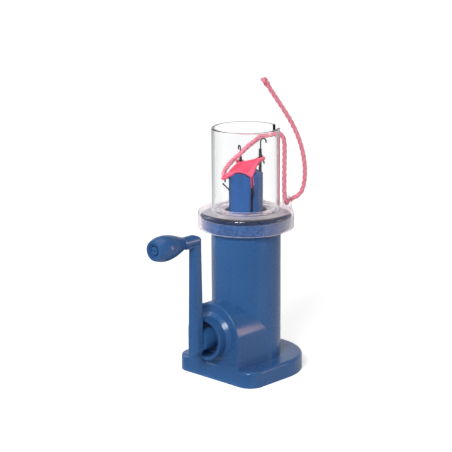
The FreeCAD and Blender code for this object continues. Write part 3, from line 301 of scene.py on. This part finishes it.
BLUE_PLASTIC = moulded_plastic("blue_plastic", srgb(53, 98, 152), srgb(46, 87, 139), 0.27)
DARK_BLUE_PLASTIC = moulded_plastic("dark_blue_plastic", srgb(38, 56, 98), srgb(30, 45, 84), 0.36)
BRIGHT_BLUE_PLASTIC = moulded_plastic("bright_blue_plastic", srgb(40, 84, 144), srgb(34, 74, 130), 0.3)
WHITE_NYLON = moulded_plastic("white_nylon", srgb(226, 224, 216), srgb(214, 212, 203), 0.42)
CLEAR_TUBE = clear_plastic(
    "clear_plastic", colour=(0.985, 0.995, 1.0, 1), edge_colour=(0.34, 0.50, 0.54, 1), roughness=0.01,
    ripple_depth=0.003 * MM, ripple_cells=200.0, ior=1.45, coat=0.0, haze=0.0, shadow_share=0.1)
# The collar's pinkish body, edge and haze tints and its darker pink patches are painted reflection, standing
# in for reflections of pink surroundings over milky clear plastic.
CLEAR_COLLAR = clear_plastic(
    "clear_collar_plastic", colour=(0.90, 0.87, 0.90, 1), edge_colour=(0.38, 0.33, 0.37, 1), roughness=0.05,
    ripple_depth=0.14 * MM, ripple_cells=480.0, ior=1.02, coat=1.0, haze=1.0, shadow_share=0.02,
    haze_spread=0.42, haze_painted_tint=(1.0, 0.92, 0.96, 1), painted_reflection_colour=(0.66, 0.58, 0.62, 1))
# The eyelet's warm body, edge and haze tints are painted highlight, standing in for pinkish glints over its
# clear plastic.
CLEAR_EYELET = clear_plastic(
    "clear_eyelet_plastic", colour=(0.90, 0.83, 0.84, 1), edge_colour=(0.38, 0.30, 0.32, 1), roughness=0.03,
    ripple_depth=0.006 * MM, ripple_cells=500.0, ior=1.42, coat=1.0, haze=0.9, shadow_share=0.15,
    haze_spread=0.35, haze_painted_tint=(1.0, 0.90, 0.88, 1))
ZINC_STEEL = steel("zinc_steel", srgb(176, 178, 182), srgb(120, 118, 112), 0.32)
SPRING_STEEL = steel("spring_steel", srgb(205, 200, 202), srgb(140, 130, 126), 0.2)
# The needles' steel is given a near-black colour: painted shade, standing in for the dark surroundings that
# bright steel needles reflect.
NEEDLE_STEEL_PAINTED_DARK = steel("needle_steel", srgb(76, 77, 84), srgb(46, 44, 48), 0.28)
YARN_PINK = spun_yarn("pink_yarn", srgb(232, 142, 160), srgb(208, 112, 132), srgb(246, 182, 194))
WEB_PINK = spun_yarn("pink_knit", srgb(238, 88, 120), srgb(206, 58, 92), srgb(248, 130, 152))

NODE_MATERIALS = {
    "housing": BLUE_PLASTIC, "crank_arm": BLUE_PLASTIC, "knob": BLUE_PLASTIC,
    "bottom_plate": DARK_BLUE_PLASTIC, "knob_screw": BLUE_PLASTIC,
    "needle_cylinder": BRIGHT_BLUE_PLASTIC, "clear_tube": CLEAR_TUBE, "clear_collar": CLEAR_COLLAR,
    "yarn_eyelet": CLEAR_EYELET, "knitted_cord": WEB_PINK, "yarn": YARN_PINK, "yarn_knot": YARN_PINK,
}
SLOT_MATERIALS = {"white_nylon": WHITE_NYLON, "zinc_steel": ZINC_STEEL, "spring_steel": SPRING_STEEL,
                  "needle_steel": NEEDLE_STEEL_PAINTED_DARK, "blue_plastic": BLUE_PLASTIC, "pink_yarn": YARN_PINK,
                  "dark_blue_plastic": DARK_BLUE_PLASTIC}


def dress_nodes():
    """Every CAD node that shows gets its finish."""
    for name, piece in NODES.items():
        slot_name = piece.material_slots[0].material.name
        material = NODE_MATERIALS.get(name) or SLOT_MATERIALS[slot_name]
        piece.material_slots[0].material = material


# ---------------------------------------------------------------- yarn
YARN_DIAMETER = 2.6 * MM
YARN_ROUTE = [Vector(point) * MM for point in (
    (8.6, 12.8, 144.8), (10.2, 15.1, 145.3), (12.2, 18.1, 145.1), (13.5, 19.3, 141.6),
    (13.9, 19.2, 133.0), (14.2, 18.6, 120.5), (14.8, 17.9, 110.5), (15.9, 17.5, 104.9),
    (15.0, 20.6, 102.4), (11.0, 24.0, 102.4), (11.0, 28.0, 102.9), (15.2, 33.2, 106.4),
    (17.3, 34.0, 115.0), (17.5, 33.4, 126.5), (16.3, 30.9, 138.5), (13.1, 26.9, 150.5),
    (8.4, 20.5, 163.0), (2.6, 14.4, 176.0))]
YARN_PITCH = 11.0 * MM
YARN_FLUFF = 1.1
PLIES = 3
# points in one turn of the twist; a ply's radius and its middle's distance from the yarn's middle,
# as shares of the yarn's radius
PLY_STEPS = 18
PLY_SHARE = 0.55
PLY_OFFSET = 0.47
# the curve bevel's resolution: 2 gives each ply eight sides
STRAND_ROUNDNESS = 2
# the knot: the part of a closed overhand knot that it has, the size of its loops and its yarn's radius
KNOT_START, KNOT_END = 0.04, 0.9
KNOT_POINTS = 30
KNOT_LOOP = 0.85 * MM
KNOT_DEPTH = 1.0 * MM
KNOT_YARN = 1.1 * MM


def smooth_route(name, points):
    """The points of a smooth curve through a route's control points."""
    data = bpy.data.curves.new(name, "CURVE")
    data.dimensions = "3D"
    data.resolution_u = 16
    spline = data.splines.new("NURBS")
    spline.points.add(len(points) - 1)
    for place, point in zip(spline.points, points):
        place.co = (*point, 1)
    spline.order_u = 3
    spline.use_endpoint_u = True
    holder = bpy.data.objects.new(name, data)
    COLLECTION.objects.link(holder)
    bpy.context.view_layer.update()
    mesh = bpy.data.meshes.new_from_object(holder)
    found = [vertex.co.copy() for vertex in mesh.vertices]
    bpy.data.objects.remove(holder)
    bpy.data.meshes.remove(mesh)
    bpy.data.curves.remove(data)
    return found


def evenly_spaced(points, step):
    """The same line with points a fixed step apart."""
    lengths = [0.0]
    for first, second in zip(points, points[1:]):
        lengths.append(lengths[-1] + (second - first).length)
    count = max(2, round(lengths[-1] / step))
    found, index = [], 0
    for i in range(count + 1):
        target = lengths[-1] * i / count
        while index < len(lengths) - 2 and lengths[index + 1] < target:
            index += 1
        span = lengths[index + 1] - lengths[index]
        share = (target - lengths[index]) / span if span else 0.0
        found.append(points[index].lerp(points[index + 1], min(1.0, max(0.0, share))))
    return found


def carried_sides(points):
    """For each point of a line its direction, and a direction across it, carried along without twist."""
    tangents = []
    for i in range(len(points)):
        tangents.append((points[min(i + 1, len(points) - 1)] - points[max(i - 1, 0)]).normalized())
    side = tangents[0].orthogonal().normalized()
    sides = []
    for before, tangent in zip([tangents[0]] + tangents, tangents):
        side = before.rotation_difference(tangent) @ side
        side = (side - tangent * side.dot(tangent)).normalized()
        sides.append(side)
    return tangents, sides


def strand_mesh(points, radius):
    """A round strand along points, as a mesh; radius is a number or one number for each point."""
    data = bpy.data.curves.new("strand", "CURVE")
    data.dimensions = "3D"
    data.bevel_depth = 1.0
    data.bevel_resolution = STRAND_ROUNDNESS
    data.use_fill_caps = True
    spline = data.splines.new("POLY")
    spline.points.add(len(points) - 1)
    for i, point in enumerate(points):
        spline.points[i].co = (*point, 1)
        spline.points[i].radius = radius if isinstance(radius, float) else radius[i]
    holder = bpy.data.objects.new("strand", data)
    COLLECTION.objects.link(holder)
    bpy.context.view_layer.update()
    mesh = bpy.data.meshes.new_from_object(holder)
    bpy.data.objects.remove(holder)
    bpy.data.curves.remove(data)
    return mesh


def joined_piece(name, meshes, material):
    """One piece from several meshes, smooth shaded, with one material."""
    shape = bmesh.new()
    for mesh in meshes:
        shape.from_mesh(mesh)
        bpy.data.meshes.remove(mesh)
    bmesh.ops.recalc_face_normals(shape, faces=shape.faces)
    for face in shape.faces:
        face.smooth = True
    mesh = bpy.data.meshes.new(name)
    shape.to_mesh(mesh)
    shape.free()
    mesh.materials.clear()
    mesh.materials.append(material)
    piece = bpy.data.objects.new(name, mesh)
    COLLECTION.objects.link(piece)
    return piece


def ply_lines(points, radius, pitch):
    """The middle lines of a twisted yarn's plies, with points at equal steps, and a ply's radius."""
    line = evenly_spaced(points, pitch / PLY_STEPS)
    tangents, sides = carried_sides(line)
    lines = []
    for ply in range(PLIES):
        places = []
        for i, (point, tangent, side) in enumerate(zip(line, tangents, sides)):
            turn = Quaternion(tangent, math.tau * (i / PLY_STEPS + ply / PLIES))
            places.append(point + turn @ side * radius * PLY_OFFSET)
        lines.append(places)
    return lines, radius * PLY_SHARE


def twisted(points, radius, pitch):
    """The plies of a twisted yarn of a given outer radius along a line."""
    lines, ply_radius = ply_lines(points, radius, pitch)
    return [strand_mesh(places, ply_radius) for places in lines]


def make_knot():
    """A small overhand knot in the yarn's end."""
    end, along = YARN_ROUTE[-1], (YARN_ROUTE[-1] - YARN_ROUTE[-2]).normalized()
    across = along.cross(Vector((0, 0, 1))).normalized()
    out = along.cross(across)
    points = []
    for i in range(KNOT_POINTS + 1):
        turn = math.tau * (KNOT_START + (KNOT_END - KNOT_START) * i / KNOT_POINTS)
        wide = math.sin(turn) + 2 * math.sin(2 * turn)
        high = math.cos(turn) - 2 * math.cos(2 * turn)
        deep = math.sin(3 * turn)
        points.append(end + (across * wide + along * high) * KNOT_LOOP - out * deep * KNOT_DEPTH)
    strands = twisted(smooth_route("knot_route", points), KNOT_YARN, YARN_PITCH)
    piece = joined_piece("tied_knot", strands, YARN_PINK)
    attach(piece, "frame")
    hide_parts("yarn_knot")
    return piece


def make_yarn():
    """The yarn outside the tube, from the slot through the eyelet to its knotted end."""
    route = smooth_route("yarn_route", YARN_ROUTE)
    piece = joined_piece("yarn_strand", twisted(route, YARN_DIAMETER / 2 * YARN_FLUFF, YARN_PITCH), YARN_PINK)
    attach(piece, "frame")
    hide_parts("yarn")
    make_knot()


# ---------------------------------------------------------------- knitting on the needles
NEEDLE_BEARINGS = (63, 153, 243, 333)
# the corner of the web at each needle: distance from the axis and height
WEB_CORNERS = ((8.2, 130.3), (8.0, 127.0), (11.6, 121.5), (9.8, 122.1))
# how far each edge of the web sags between its needle and the next
WEB_SAG = (0.1, -1.6, -2.9, 0.0)
WEB_EDGE = 0.75
EDGE_ROLL = 0.5
EDGE_POINTS = 160
# the cord in the bore: its rounded lower end and where it starts to open
CORD_END = 86.2
CORD_RADIUS = 4.9
CORD_END_RADIUS = 0.7 * CORD_RADIUS
CORD_END_ROUND = 0.1, 1.6
CORD_OPENS = 117.5
# the neck between cord and web, which stays under the web's edge, and the funnel inside the work
NECK_TOP = 123.9
NECK_AT_SLOTS = 123.0
NECK_RADIUS = 5.5
NECK_DROP = 0.9
FUNNEL_RADIUS = 2.6
FUNNEL_DROP = 0.8
FUNNEL_END = 118.0
# the knitted columns and rows, and the fine ribs of the stretched web
COURSE_HEIGHT = 3.8
STITCH_SLANT = 0.55
STITCH_RELIEF = 0.55
# the shape of a stitch's leg along it and across it: 0 is a flat block and 1 a plain sine wave
LEG_LENGTHWAYS, LEG_CROSSWAYS = 0.6, 0.45
RIB_COUNT = 28
RIB_RELIEF = 0.28
RIB_SWAY, RIB_WAVES = 2.2, 9
# the levels on the work between which each relief grows to its full height
STITCHES_START, STITCHES_END = (0.0, 0.05), (0.74, 0.68)
RIBS_START, RIBS_END = (0.70, 0.78), (2.0, 1.5)
WEB_SEGMENTS = 168
WEB_ROWS = 230
# yarn radius and twist of the web's edge and of the stitches round the needles
EDGE_YARN = 0.8 * MM
EDGE_PITCH = 5.0 * MM
LOOP_YARNS = (1.15, 1.1, 1.0, 0.26)
LOOP_PITCH = 6.0 * MM
# half of each needle's stitch: distance from the axis, distance across and height of its points
STITCH_LEGS = (
    ((6.4, 1.0, 127.2), (7.9, 1.8, 129.9), (9.6, 1.85, 130.5), (11.1, 1.2, 130.6), (11.4, 0.0, 130.5)),
    ((6.4, 1.0, 124.4), (7.9, 1.8, 126.8), (9.6, 1.85, 127.3), (11.1, 1.2, 127.4), (11.4, 0.0, 127.3)),
    ((7.4, 1.6, 123.6), (9.6, 2.0, 122.6), (12.2, 1.9, 121.4), (14.0, 1.3, 120.4), (14.5, 0.0, 119.9)),
    ((8.6, 0.7, 123.0), (9.9, 0.75, 122.2), (10.6, 0.7, 120.6), (10.9, 0.65, 118.0), (11.2, 0.5, 116.2),
     (11.3, 0.0, 115.6)))


def at_bearing(bearing, out, height, across=0.0):
    """A point out from the axis towards a bearing, and across it; millimetres in, metres out."""
    turn = math.radians(bearing)
    along = Vector((math.cos(turn), math.sin(turn), 0))
    return (along * out + Vector((-along.y, along.x, 0)) * across + Vector((0, 0, height))) * MM


def web_edge(share):
    """The web's edge; share runs from 0 at the first needle to 1 back at it."""
    place = share * 4 % 4
    first = int(place)
    part = place - first
    start, end = (at_bearing(NEEDLE_BEARINGS[i], *WEB_CORNERS[i]) for i in (first, (first + 1) % 4))
    point = start.lerp(end, part)
    point.z -= WEB_SAG[first] * 4 * part * (1 - part) * MM
    return point


def stitch_height(share, height):
    """The relief of knitted columns: two slanting legs in each stitch, from 0 to 1."""
    column = share * 4 % 1
    leg = abs(2 * column - 1)
    along = (height / COURSE_HEIGHT - STITCH_SLANT * leg) % 1
    across = max(0.0, math.sin(math.pi * (2 * column % 1)))
    return math.sin(math.pi * along) ** LEG_LENGTHWAYS * across ** LEG_CROSSWAYS


def ramp(level, start, end):
    """How far a level is from start to end, from 0 to 1."""
    return min(1.0, max(0.0, (level - start) / (end - start)))


def web_profile(share):
    """The work's outline at one place round it: (level, point) pairs, from the cord's end to inside."""
    edge = web_edge(share)
    around = at_bearing(NEEDLE_BEARINGS[0] + 360 * share, 1.0, 0) / MM
    inward = Vector((edge.x, edge.y, 0)).normalized() * -WEB_EDGE * MM
    roll = Vector((0, 0, EDGE_ROLL * MM))
    neck_height = min(NECK_TOP, max(NECK_AT_SLOTS, edge.z / MM - NECK_DROP))

    def ring(radius, height):
        return around * radius * MM + Vector((0, 0, height * MM))

    return ((0.0, ring(0.0, CORD_END)),
            (0.02, ring(CORD_END_RADIUS, CORD_END + CORD_END_ROUND[0])),
            (0.05, ring(CORD_RADIUS, CORD_END + CORD_END_ROUND[1])),
            (0.68, ring(CORD_RADIUS, CORD_OPENS)),
            (0.76, ring(NECK_RADIUS, neck_height)),
            (0.97, edge - roll),
            (1.0, edge + inward * 0.5),
            (1.03, edge + inward - roll),
            (1.55, ring(FUNNEL_RADIUS, neck_height - FUNNEL_DROP)),
            (2.0, ring(0.0, FUNNEL_END)))


def web_point(share, level):
    """A point of the work; level runs from 0 at its lower end, by 1 at the edge, to 2 inside."""
    stops = web_profile(share)
    for (low, first), (high, second) in zip(stops, stops[1:]):
        if level <= high + 1e-6:
            point = first.lerp(second, ramp(level, low, high))
            break
    around = at_bearing(NEEDLE_BEARINGS[0] + 360 * share, 1.0, 0) / MM
    knitted = ramp(level, *STITCHES_START) * ramp(level, *STITCHES_END)
    ribbed = ramp(level, *RIBS_START) * ramp(level, *RIBS_END)
    sway = RIB_SWAY * math.sin(RIB_WAVES * level + math.tau * share)
    ribs = math.cos(math.tau * RIB_COUNT * share + sway)
    relief = knitted * STITCH_RELIEF * stitch_height(share, point.z / MM) + ribbed * RIB_RELIEF * ribs
    outward = around if level < 1.0 else -around
    return point + outward * relief * MM


def stitch_loops():
    """Each needle's stitch: up from the web, round the stem or through the hook, and back."""
    for bearing, leg in zip(NEEDLE_BEARINGS, STITCH_LEGS):
        there = [at_bearing(bearing, out, height, across) for out, across, height in leg]
        back = [at_bearing(bearing, out, height, -across) for out, across, height in reversed(leg[:-1])]
        yield there + back


def make_web():
    """The knitted work: a cord in the bore that opens into a web stretched between the needles."""
    shape = bmesh.new()
    bmesh.ops.create_grid(shape, x_segments=WEB_SEGMENTS, y_segments=WEB_ROWS, size=0.5)
    for vertex in shape.verts:
        vertex.co = web_point(vertex.co.x + 0.5, 2 * (vertex.co.y + 0.5))
    bmesh.ops.remove_doubles(shape, verts=shape.verts, dist=1e-6)
    mesh = bpy.data.meshes.new("web_sheet")
    shape.to_mesh(mesh)
    shape.free()
    edge = [web_edge(i / EDGE_POINTS) for i in range(EDGE_POINTS + 1)]
    meshes = [mesh] + twisted(edge, EDGE_YARN, EDGE_PITCH)
    for route, radius in zip(stitch_loops(), LOOP_YARNS):
        meshes += twisted(smooth_route("loop_route", route), radius * MM, LOOP_PITCH)
    piece = joined_piece("knitted_web", meshes, WEB_PINK)
    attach(piece, "needle_cylinder")
    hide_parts("knitted_cord")


# ---------------------------------------------------------------- the yarn over the hooks
WORKING_PITCH = 10.0 * MM
WORKING_RADIUS = 1.5 * MM
TAPER_STEPS = 12
TAPER_TIP = 0.4
# its line: bearing, distance from the axis and height of each point
WORKING_ROUTE = (
    (56.1, 15.4, 144.8), (57.5, 14.0, 144.7), (59.0, 12.6, 144.5), (61.0, 11.0, 144.4), (64.5, 9.3, 143.9),
    (76.0, 8.7, 142.5), (92.0, 8.8, 140.8), (110.0, 8.4, 138.7), (130.0, 7.0, 136.4), (150.0, 6.4, 134.3),
    (166.0, 7.2, 132.3), (181.0, 9.8, 129.5), (196.0, 12.0, 126.0), (210.0, 13.3, 123.2),
    (224.0, 13.4, 121.6), (236.0, 12.2, 120.8), (243.0, 10.6, 120.6))
# its runs: the bodies that carry the start and the end, the point of the line that the run ends at,
# and the shares of the run between which it passes from one body to the other
WORKING_RUNS = (("frame", "needle_cylinder", 2, 0.1, 0.9), ("needle_cylinder", "needle_1", 4, 0.1, 0.9),
                ("needle_1", "needle_cylinder", 7, 0.1, 0.9), ("needle_cylinder", "needle_3", 16, 0.7, 0.97))


def make_working_yarn():
    """The yarn from the slot of the tube over the needles' hooks, cut into runs."""
    route = [at_bearing(*point) for point in WORKING_ROUTE]
    route_line = smooth_route("working_route", route)
    line = evenly_spaced(route_line, WORKING_PITCH / PLY_STEPS)
    plies, ply_radius = ply_lines(route_line, WORKING_RADIUS, WORKING_PITCH)
    tip = len(line) - 1
    radii = [ply_radius * min(1.0, TAPER_TIP + (tip - i) / TAPER_STEPS) for i in range(len(line))]
    first = 0
    for number, (before, after, run_end, from_share, to_share) in enumerate(WORKING_RUNS, 1):
        last = min(range(len(line)), key=lambda i: (line[i] - route[run_end]).length)
        if run_end == len(route) - 1:
            last = tip
        strands = [strand_mesh(ply[first:last + 1], radii[first:last + 1]) for ply in plies]
        piece = joined_piece(f"working_yarn_{number}", strands, YARN_PINK)
        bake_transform(piece)
        first = last


# ---------------------------------------------------------------- camera, lights and stage
CAMERA_AZIMUTH = math.radians(43.533)
CAMERA_ELEVATION = math.radians(14.15)
CAMERA_ROLL = math.radians(-0.298)
CAMERA_DISTANCE = 1032.085 * MM
CAMERA_TARGET = Vector((-8.71, -8.27, 89.67)) * MM
SENSOR_WIDTH = 36.0
FOCAL_PIXELS = 1714.267
PICTURE_WIDTH = 452
CAMERA_CLIP = 0.05, 20.0
# each lamp: name, degrees round and up, distance, width and height, power and colour
LAMPS = (("key", 27, 30, 0.9, (0.3, 0.3), 5.9, (1.0, 1.0, 1.0)),
         ("fill", -60, 20, 0.9, (0.4, 0.6), 2.9, (1.0, 1.0, 1.0)),
         ("strip", 130, 3, 0.8, (0.10, 0.34), 1.1, (1.0, 0.64, 0.52)))
# the room: its plain light, and what shows in reflections: a bright back and a dim front, between
# which the walls turn, a dim ceiling and a bright skylight; the heights are those of unit directions
WORLD_LIGHT = 0.34
ROOM_AXIS = (-0.689, 0.725, 0.0)
ROOM_FRONT, ROOM_BACK = 0.24, 0.85
ROOM_TURNS = 0.35, 0.8
ROOM_CEILING = 0.25
CEILING_HEIGHTS = 0.3, 0.6
ROOM_SKYLIGHT = 1.4
SKYLIGHT_HEIGHTS = 0.78, 0.9
BENCH_FRONT = -0.033
BENCH_REACH = 6.0
BENCH_DEPTH = 0.6
BENCH_PAINT = (0.9, 0.9, 0.9, 1)
# the glow that keeps the bench pale to the eye, near the object and far from it
BENCH_GLOW, BENCH_FAR_GLOW = 0.5, 0.75
GLOW_DISTANCES = 0.1, 1.2


def make_camera():
    data = bpy.data.cameras.new("camera")
    data.sensor_width = SENSOR_WIDTH
    data.lens = SENSOR_WIDTH * FOCAL_PIXELS / PICTURE_WIDTH
    data.clip_start, data.clip_end = CAMERA_CLIP
    camera = bpy.data.objects.new("camera", data)
    COLLECTION.objects.link(camera)
    right = Vector((math.cos(CAMERA_AZIMUTH), math.sin(CAMERA_AZIMUTH), 0))
    back = Vector((math.sin(CAMERA_AZIMUTH) * math.cos(CAMERA_ELEVATION),
                   -math.cos(CAMERA_AZIMUTH) * math.cos(CAMERA_ELEVATION), math.sin(CAMERA_ELEVATION)))
    up = back.cross(right)
    tilted_right = right * math.cos(CAMERA_ROLL) + up * math.sin(CAMERA_ROLL)
    tilted_up = up * math.cos(CAMERA_ROLL) - right * math.sin(CAMERA_ROLL)
    turn = Matrix((tilted_right, tilted_up, back)).transposed().to_4x4()
    camera.matrix_world = Matrix.Translation(CAMERA_TARGET + back * CAMERA_DISTANCE) @ turn
    bpy.context.scene.camera = camera


def area_light(name, azimuth, elevation, distance, size, power, colour):
    """A soft lamp, aimed at the middle of the object; azimuth is turned from the -Y side towards +X."""
    data = bpy.data.lights.new(name, "AREA")
    data.shape = "RECTANGLE"
    data.size, data.size_y = size
    data.energy = power
    data.color = colour
    lamp = bpy.data.objects.new(name, data)
    COLLECTION.objects.link(lamp)
    turn, rise = math.radians(azimuth), math.radians(elevation)
    away = Vector((math.sin(turn) * math.cos(rise), -math.cos(turn) * math.cos(rise), math.sin(rise)))
    lamp.location = CAMERA_TARGET + away * distance
    lamp.rotation_euler = away.to_track_quat("Z", "Y").to_euler()


def seen_clearly(tree, path):
    """1 for what the camera sees, itself or straight through clear plastic, and 0 for reflected light."""
    bounces = math_node(tree, "ADD", path["Diffuse Depth"], path["Glossy Depth"])
    direct = math_node(tree, "LESS_THAN", bounces, 0.5)
    clear = math_node(tree, "MULTIPLY", path["Is Transmission Ray"], direct)
    return math_node(tree, "MAXIMUM", path["Is Camera Ray"], clear)


def make_world():
    """A white room: plain white to the eye, and in reflections bright behind the object and dim before it."""
    world = bpy.data.worlds.new("studio")
    bpy.context.scene.world = world
    world.use_nodes = True
    tree = world.node_tree
    path = add_node(tree, "LightPath").outputs
    first = math_node(tree, "LESS_THAN", path["Diffuse Depth"], 0.5)
    glossy = math_node(tree, "MULTIPLY", math_node(tree, "GREATER_THAN", path["Glossy Depth"], 0.5), first)
    direction = add_node(tree, "TexCoord").outputs["Generated"]
    axis = {0: direction, 1: ROOM_AXIS}
    away = add_node(tree, "VectorMath", axis, operation="DOT_PRODUCT").outputs["Value"]
    height = add_node(tree, "SeparateXYZ", {0: direction}).outputs["Z"]
    back = remap(tree, height, *CEILING_HEIGHTS, ROOM_BACK, ROOM_CEILING)
    wall = remap(tree, away, *ROOM_TURNS, ROOM_FRONT, back)
    room = math_node(tree, "ADD", wall, remap(tree, height, *SKYLIGHT_HEIGHTS, 0.0, ROOM_SKYLIGHT))
    dim = add_node(tree, "Mix", {0: glossy, 2: WORLD_LIGHT, 3: room}).outputs[0]
    strength = add_node(tree, "Mix", {0: seen_clearly(tree, path), 2: dim, 3: 1.0}).outputs[0]
    background = tree.nodes["Background"]
    background.inputs["Color"].default_value = WHITE
    tree.links.new(strength, background.inputs["Strength"])


def make_bench():
    """A pale bench whose front edge is just in front of the base, so that the crank can go round."""
    shape = bmesh.new()
    bmesh.ops.create_cube(shape, size=1.0)
    bmesh.ops.scale(shape, verts=shape.verts, vec=(2 * BENCH_REACH, BENCH_REACH, BENCH_DEPTH))
    bmesh.ops.translate(shape, verts=shape.verts, vec=(0, BENCH_FRONT + BENCH_REACH / 2, -BENCH_DEPTH / 2))
    mesh = bpy.data.meshes.new("bench")
    shape.to_mesh(mesh)
    shape.free()
    made, tree, shader = new_material("bench_paint")
    set_shader(shader, {"Base Color": BENCH_PAINT, "Roughness": 0.9, "Specular IOR Level": 0.1,
                        "Emission Color": WHITE})
    seen = seen_clearly(tree, add_node(tree, "LightPath").outputs)
    surface = add_node(tree, "NewGeometry").outputs
    facing = add_node(tree, "SeparateXYZ", {0: surface["Normal"]}).outputs["Z"]
    distance = add_node(tree, "VectorMath", {0: surface["Position"]}, operation="LENGTH").outputs["Value"]
    glow_here = remap(tree, distance, *GLOW_DISTANCES, BENCH_GLOW, BENCH_FAR_GLOW)
    top = math_node(tree, "MULTIPLY", facing, glow_here)
    front = math_node(tree, "SUBTRACT", 1.0, facing)
    glow = math_node(tree, "MULTIPLY", seen, math_node(tree, "ADD", top, front))
    tree.links.new(glow, shader.inputs["Emission Strength"])
    mesh.materials.append(made)
    bench = bpy.data.objects.new("bench", mesh)
    COLLECTION.objects.link(bench)


def make_stage():
    make_camera()
    make_world()
    for lamp in LAMPS:
        area_light(*lamp)
    make_bench()
    bpy.context.scene.view_settings.view_transform = "Standard"


# ---------------------------------------------------------------- the whole
dress_nodes()
make_yarn()
make_web()
make_working_yarn()
make_stage()
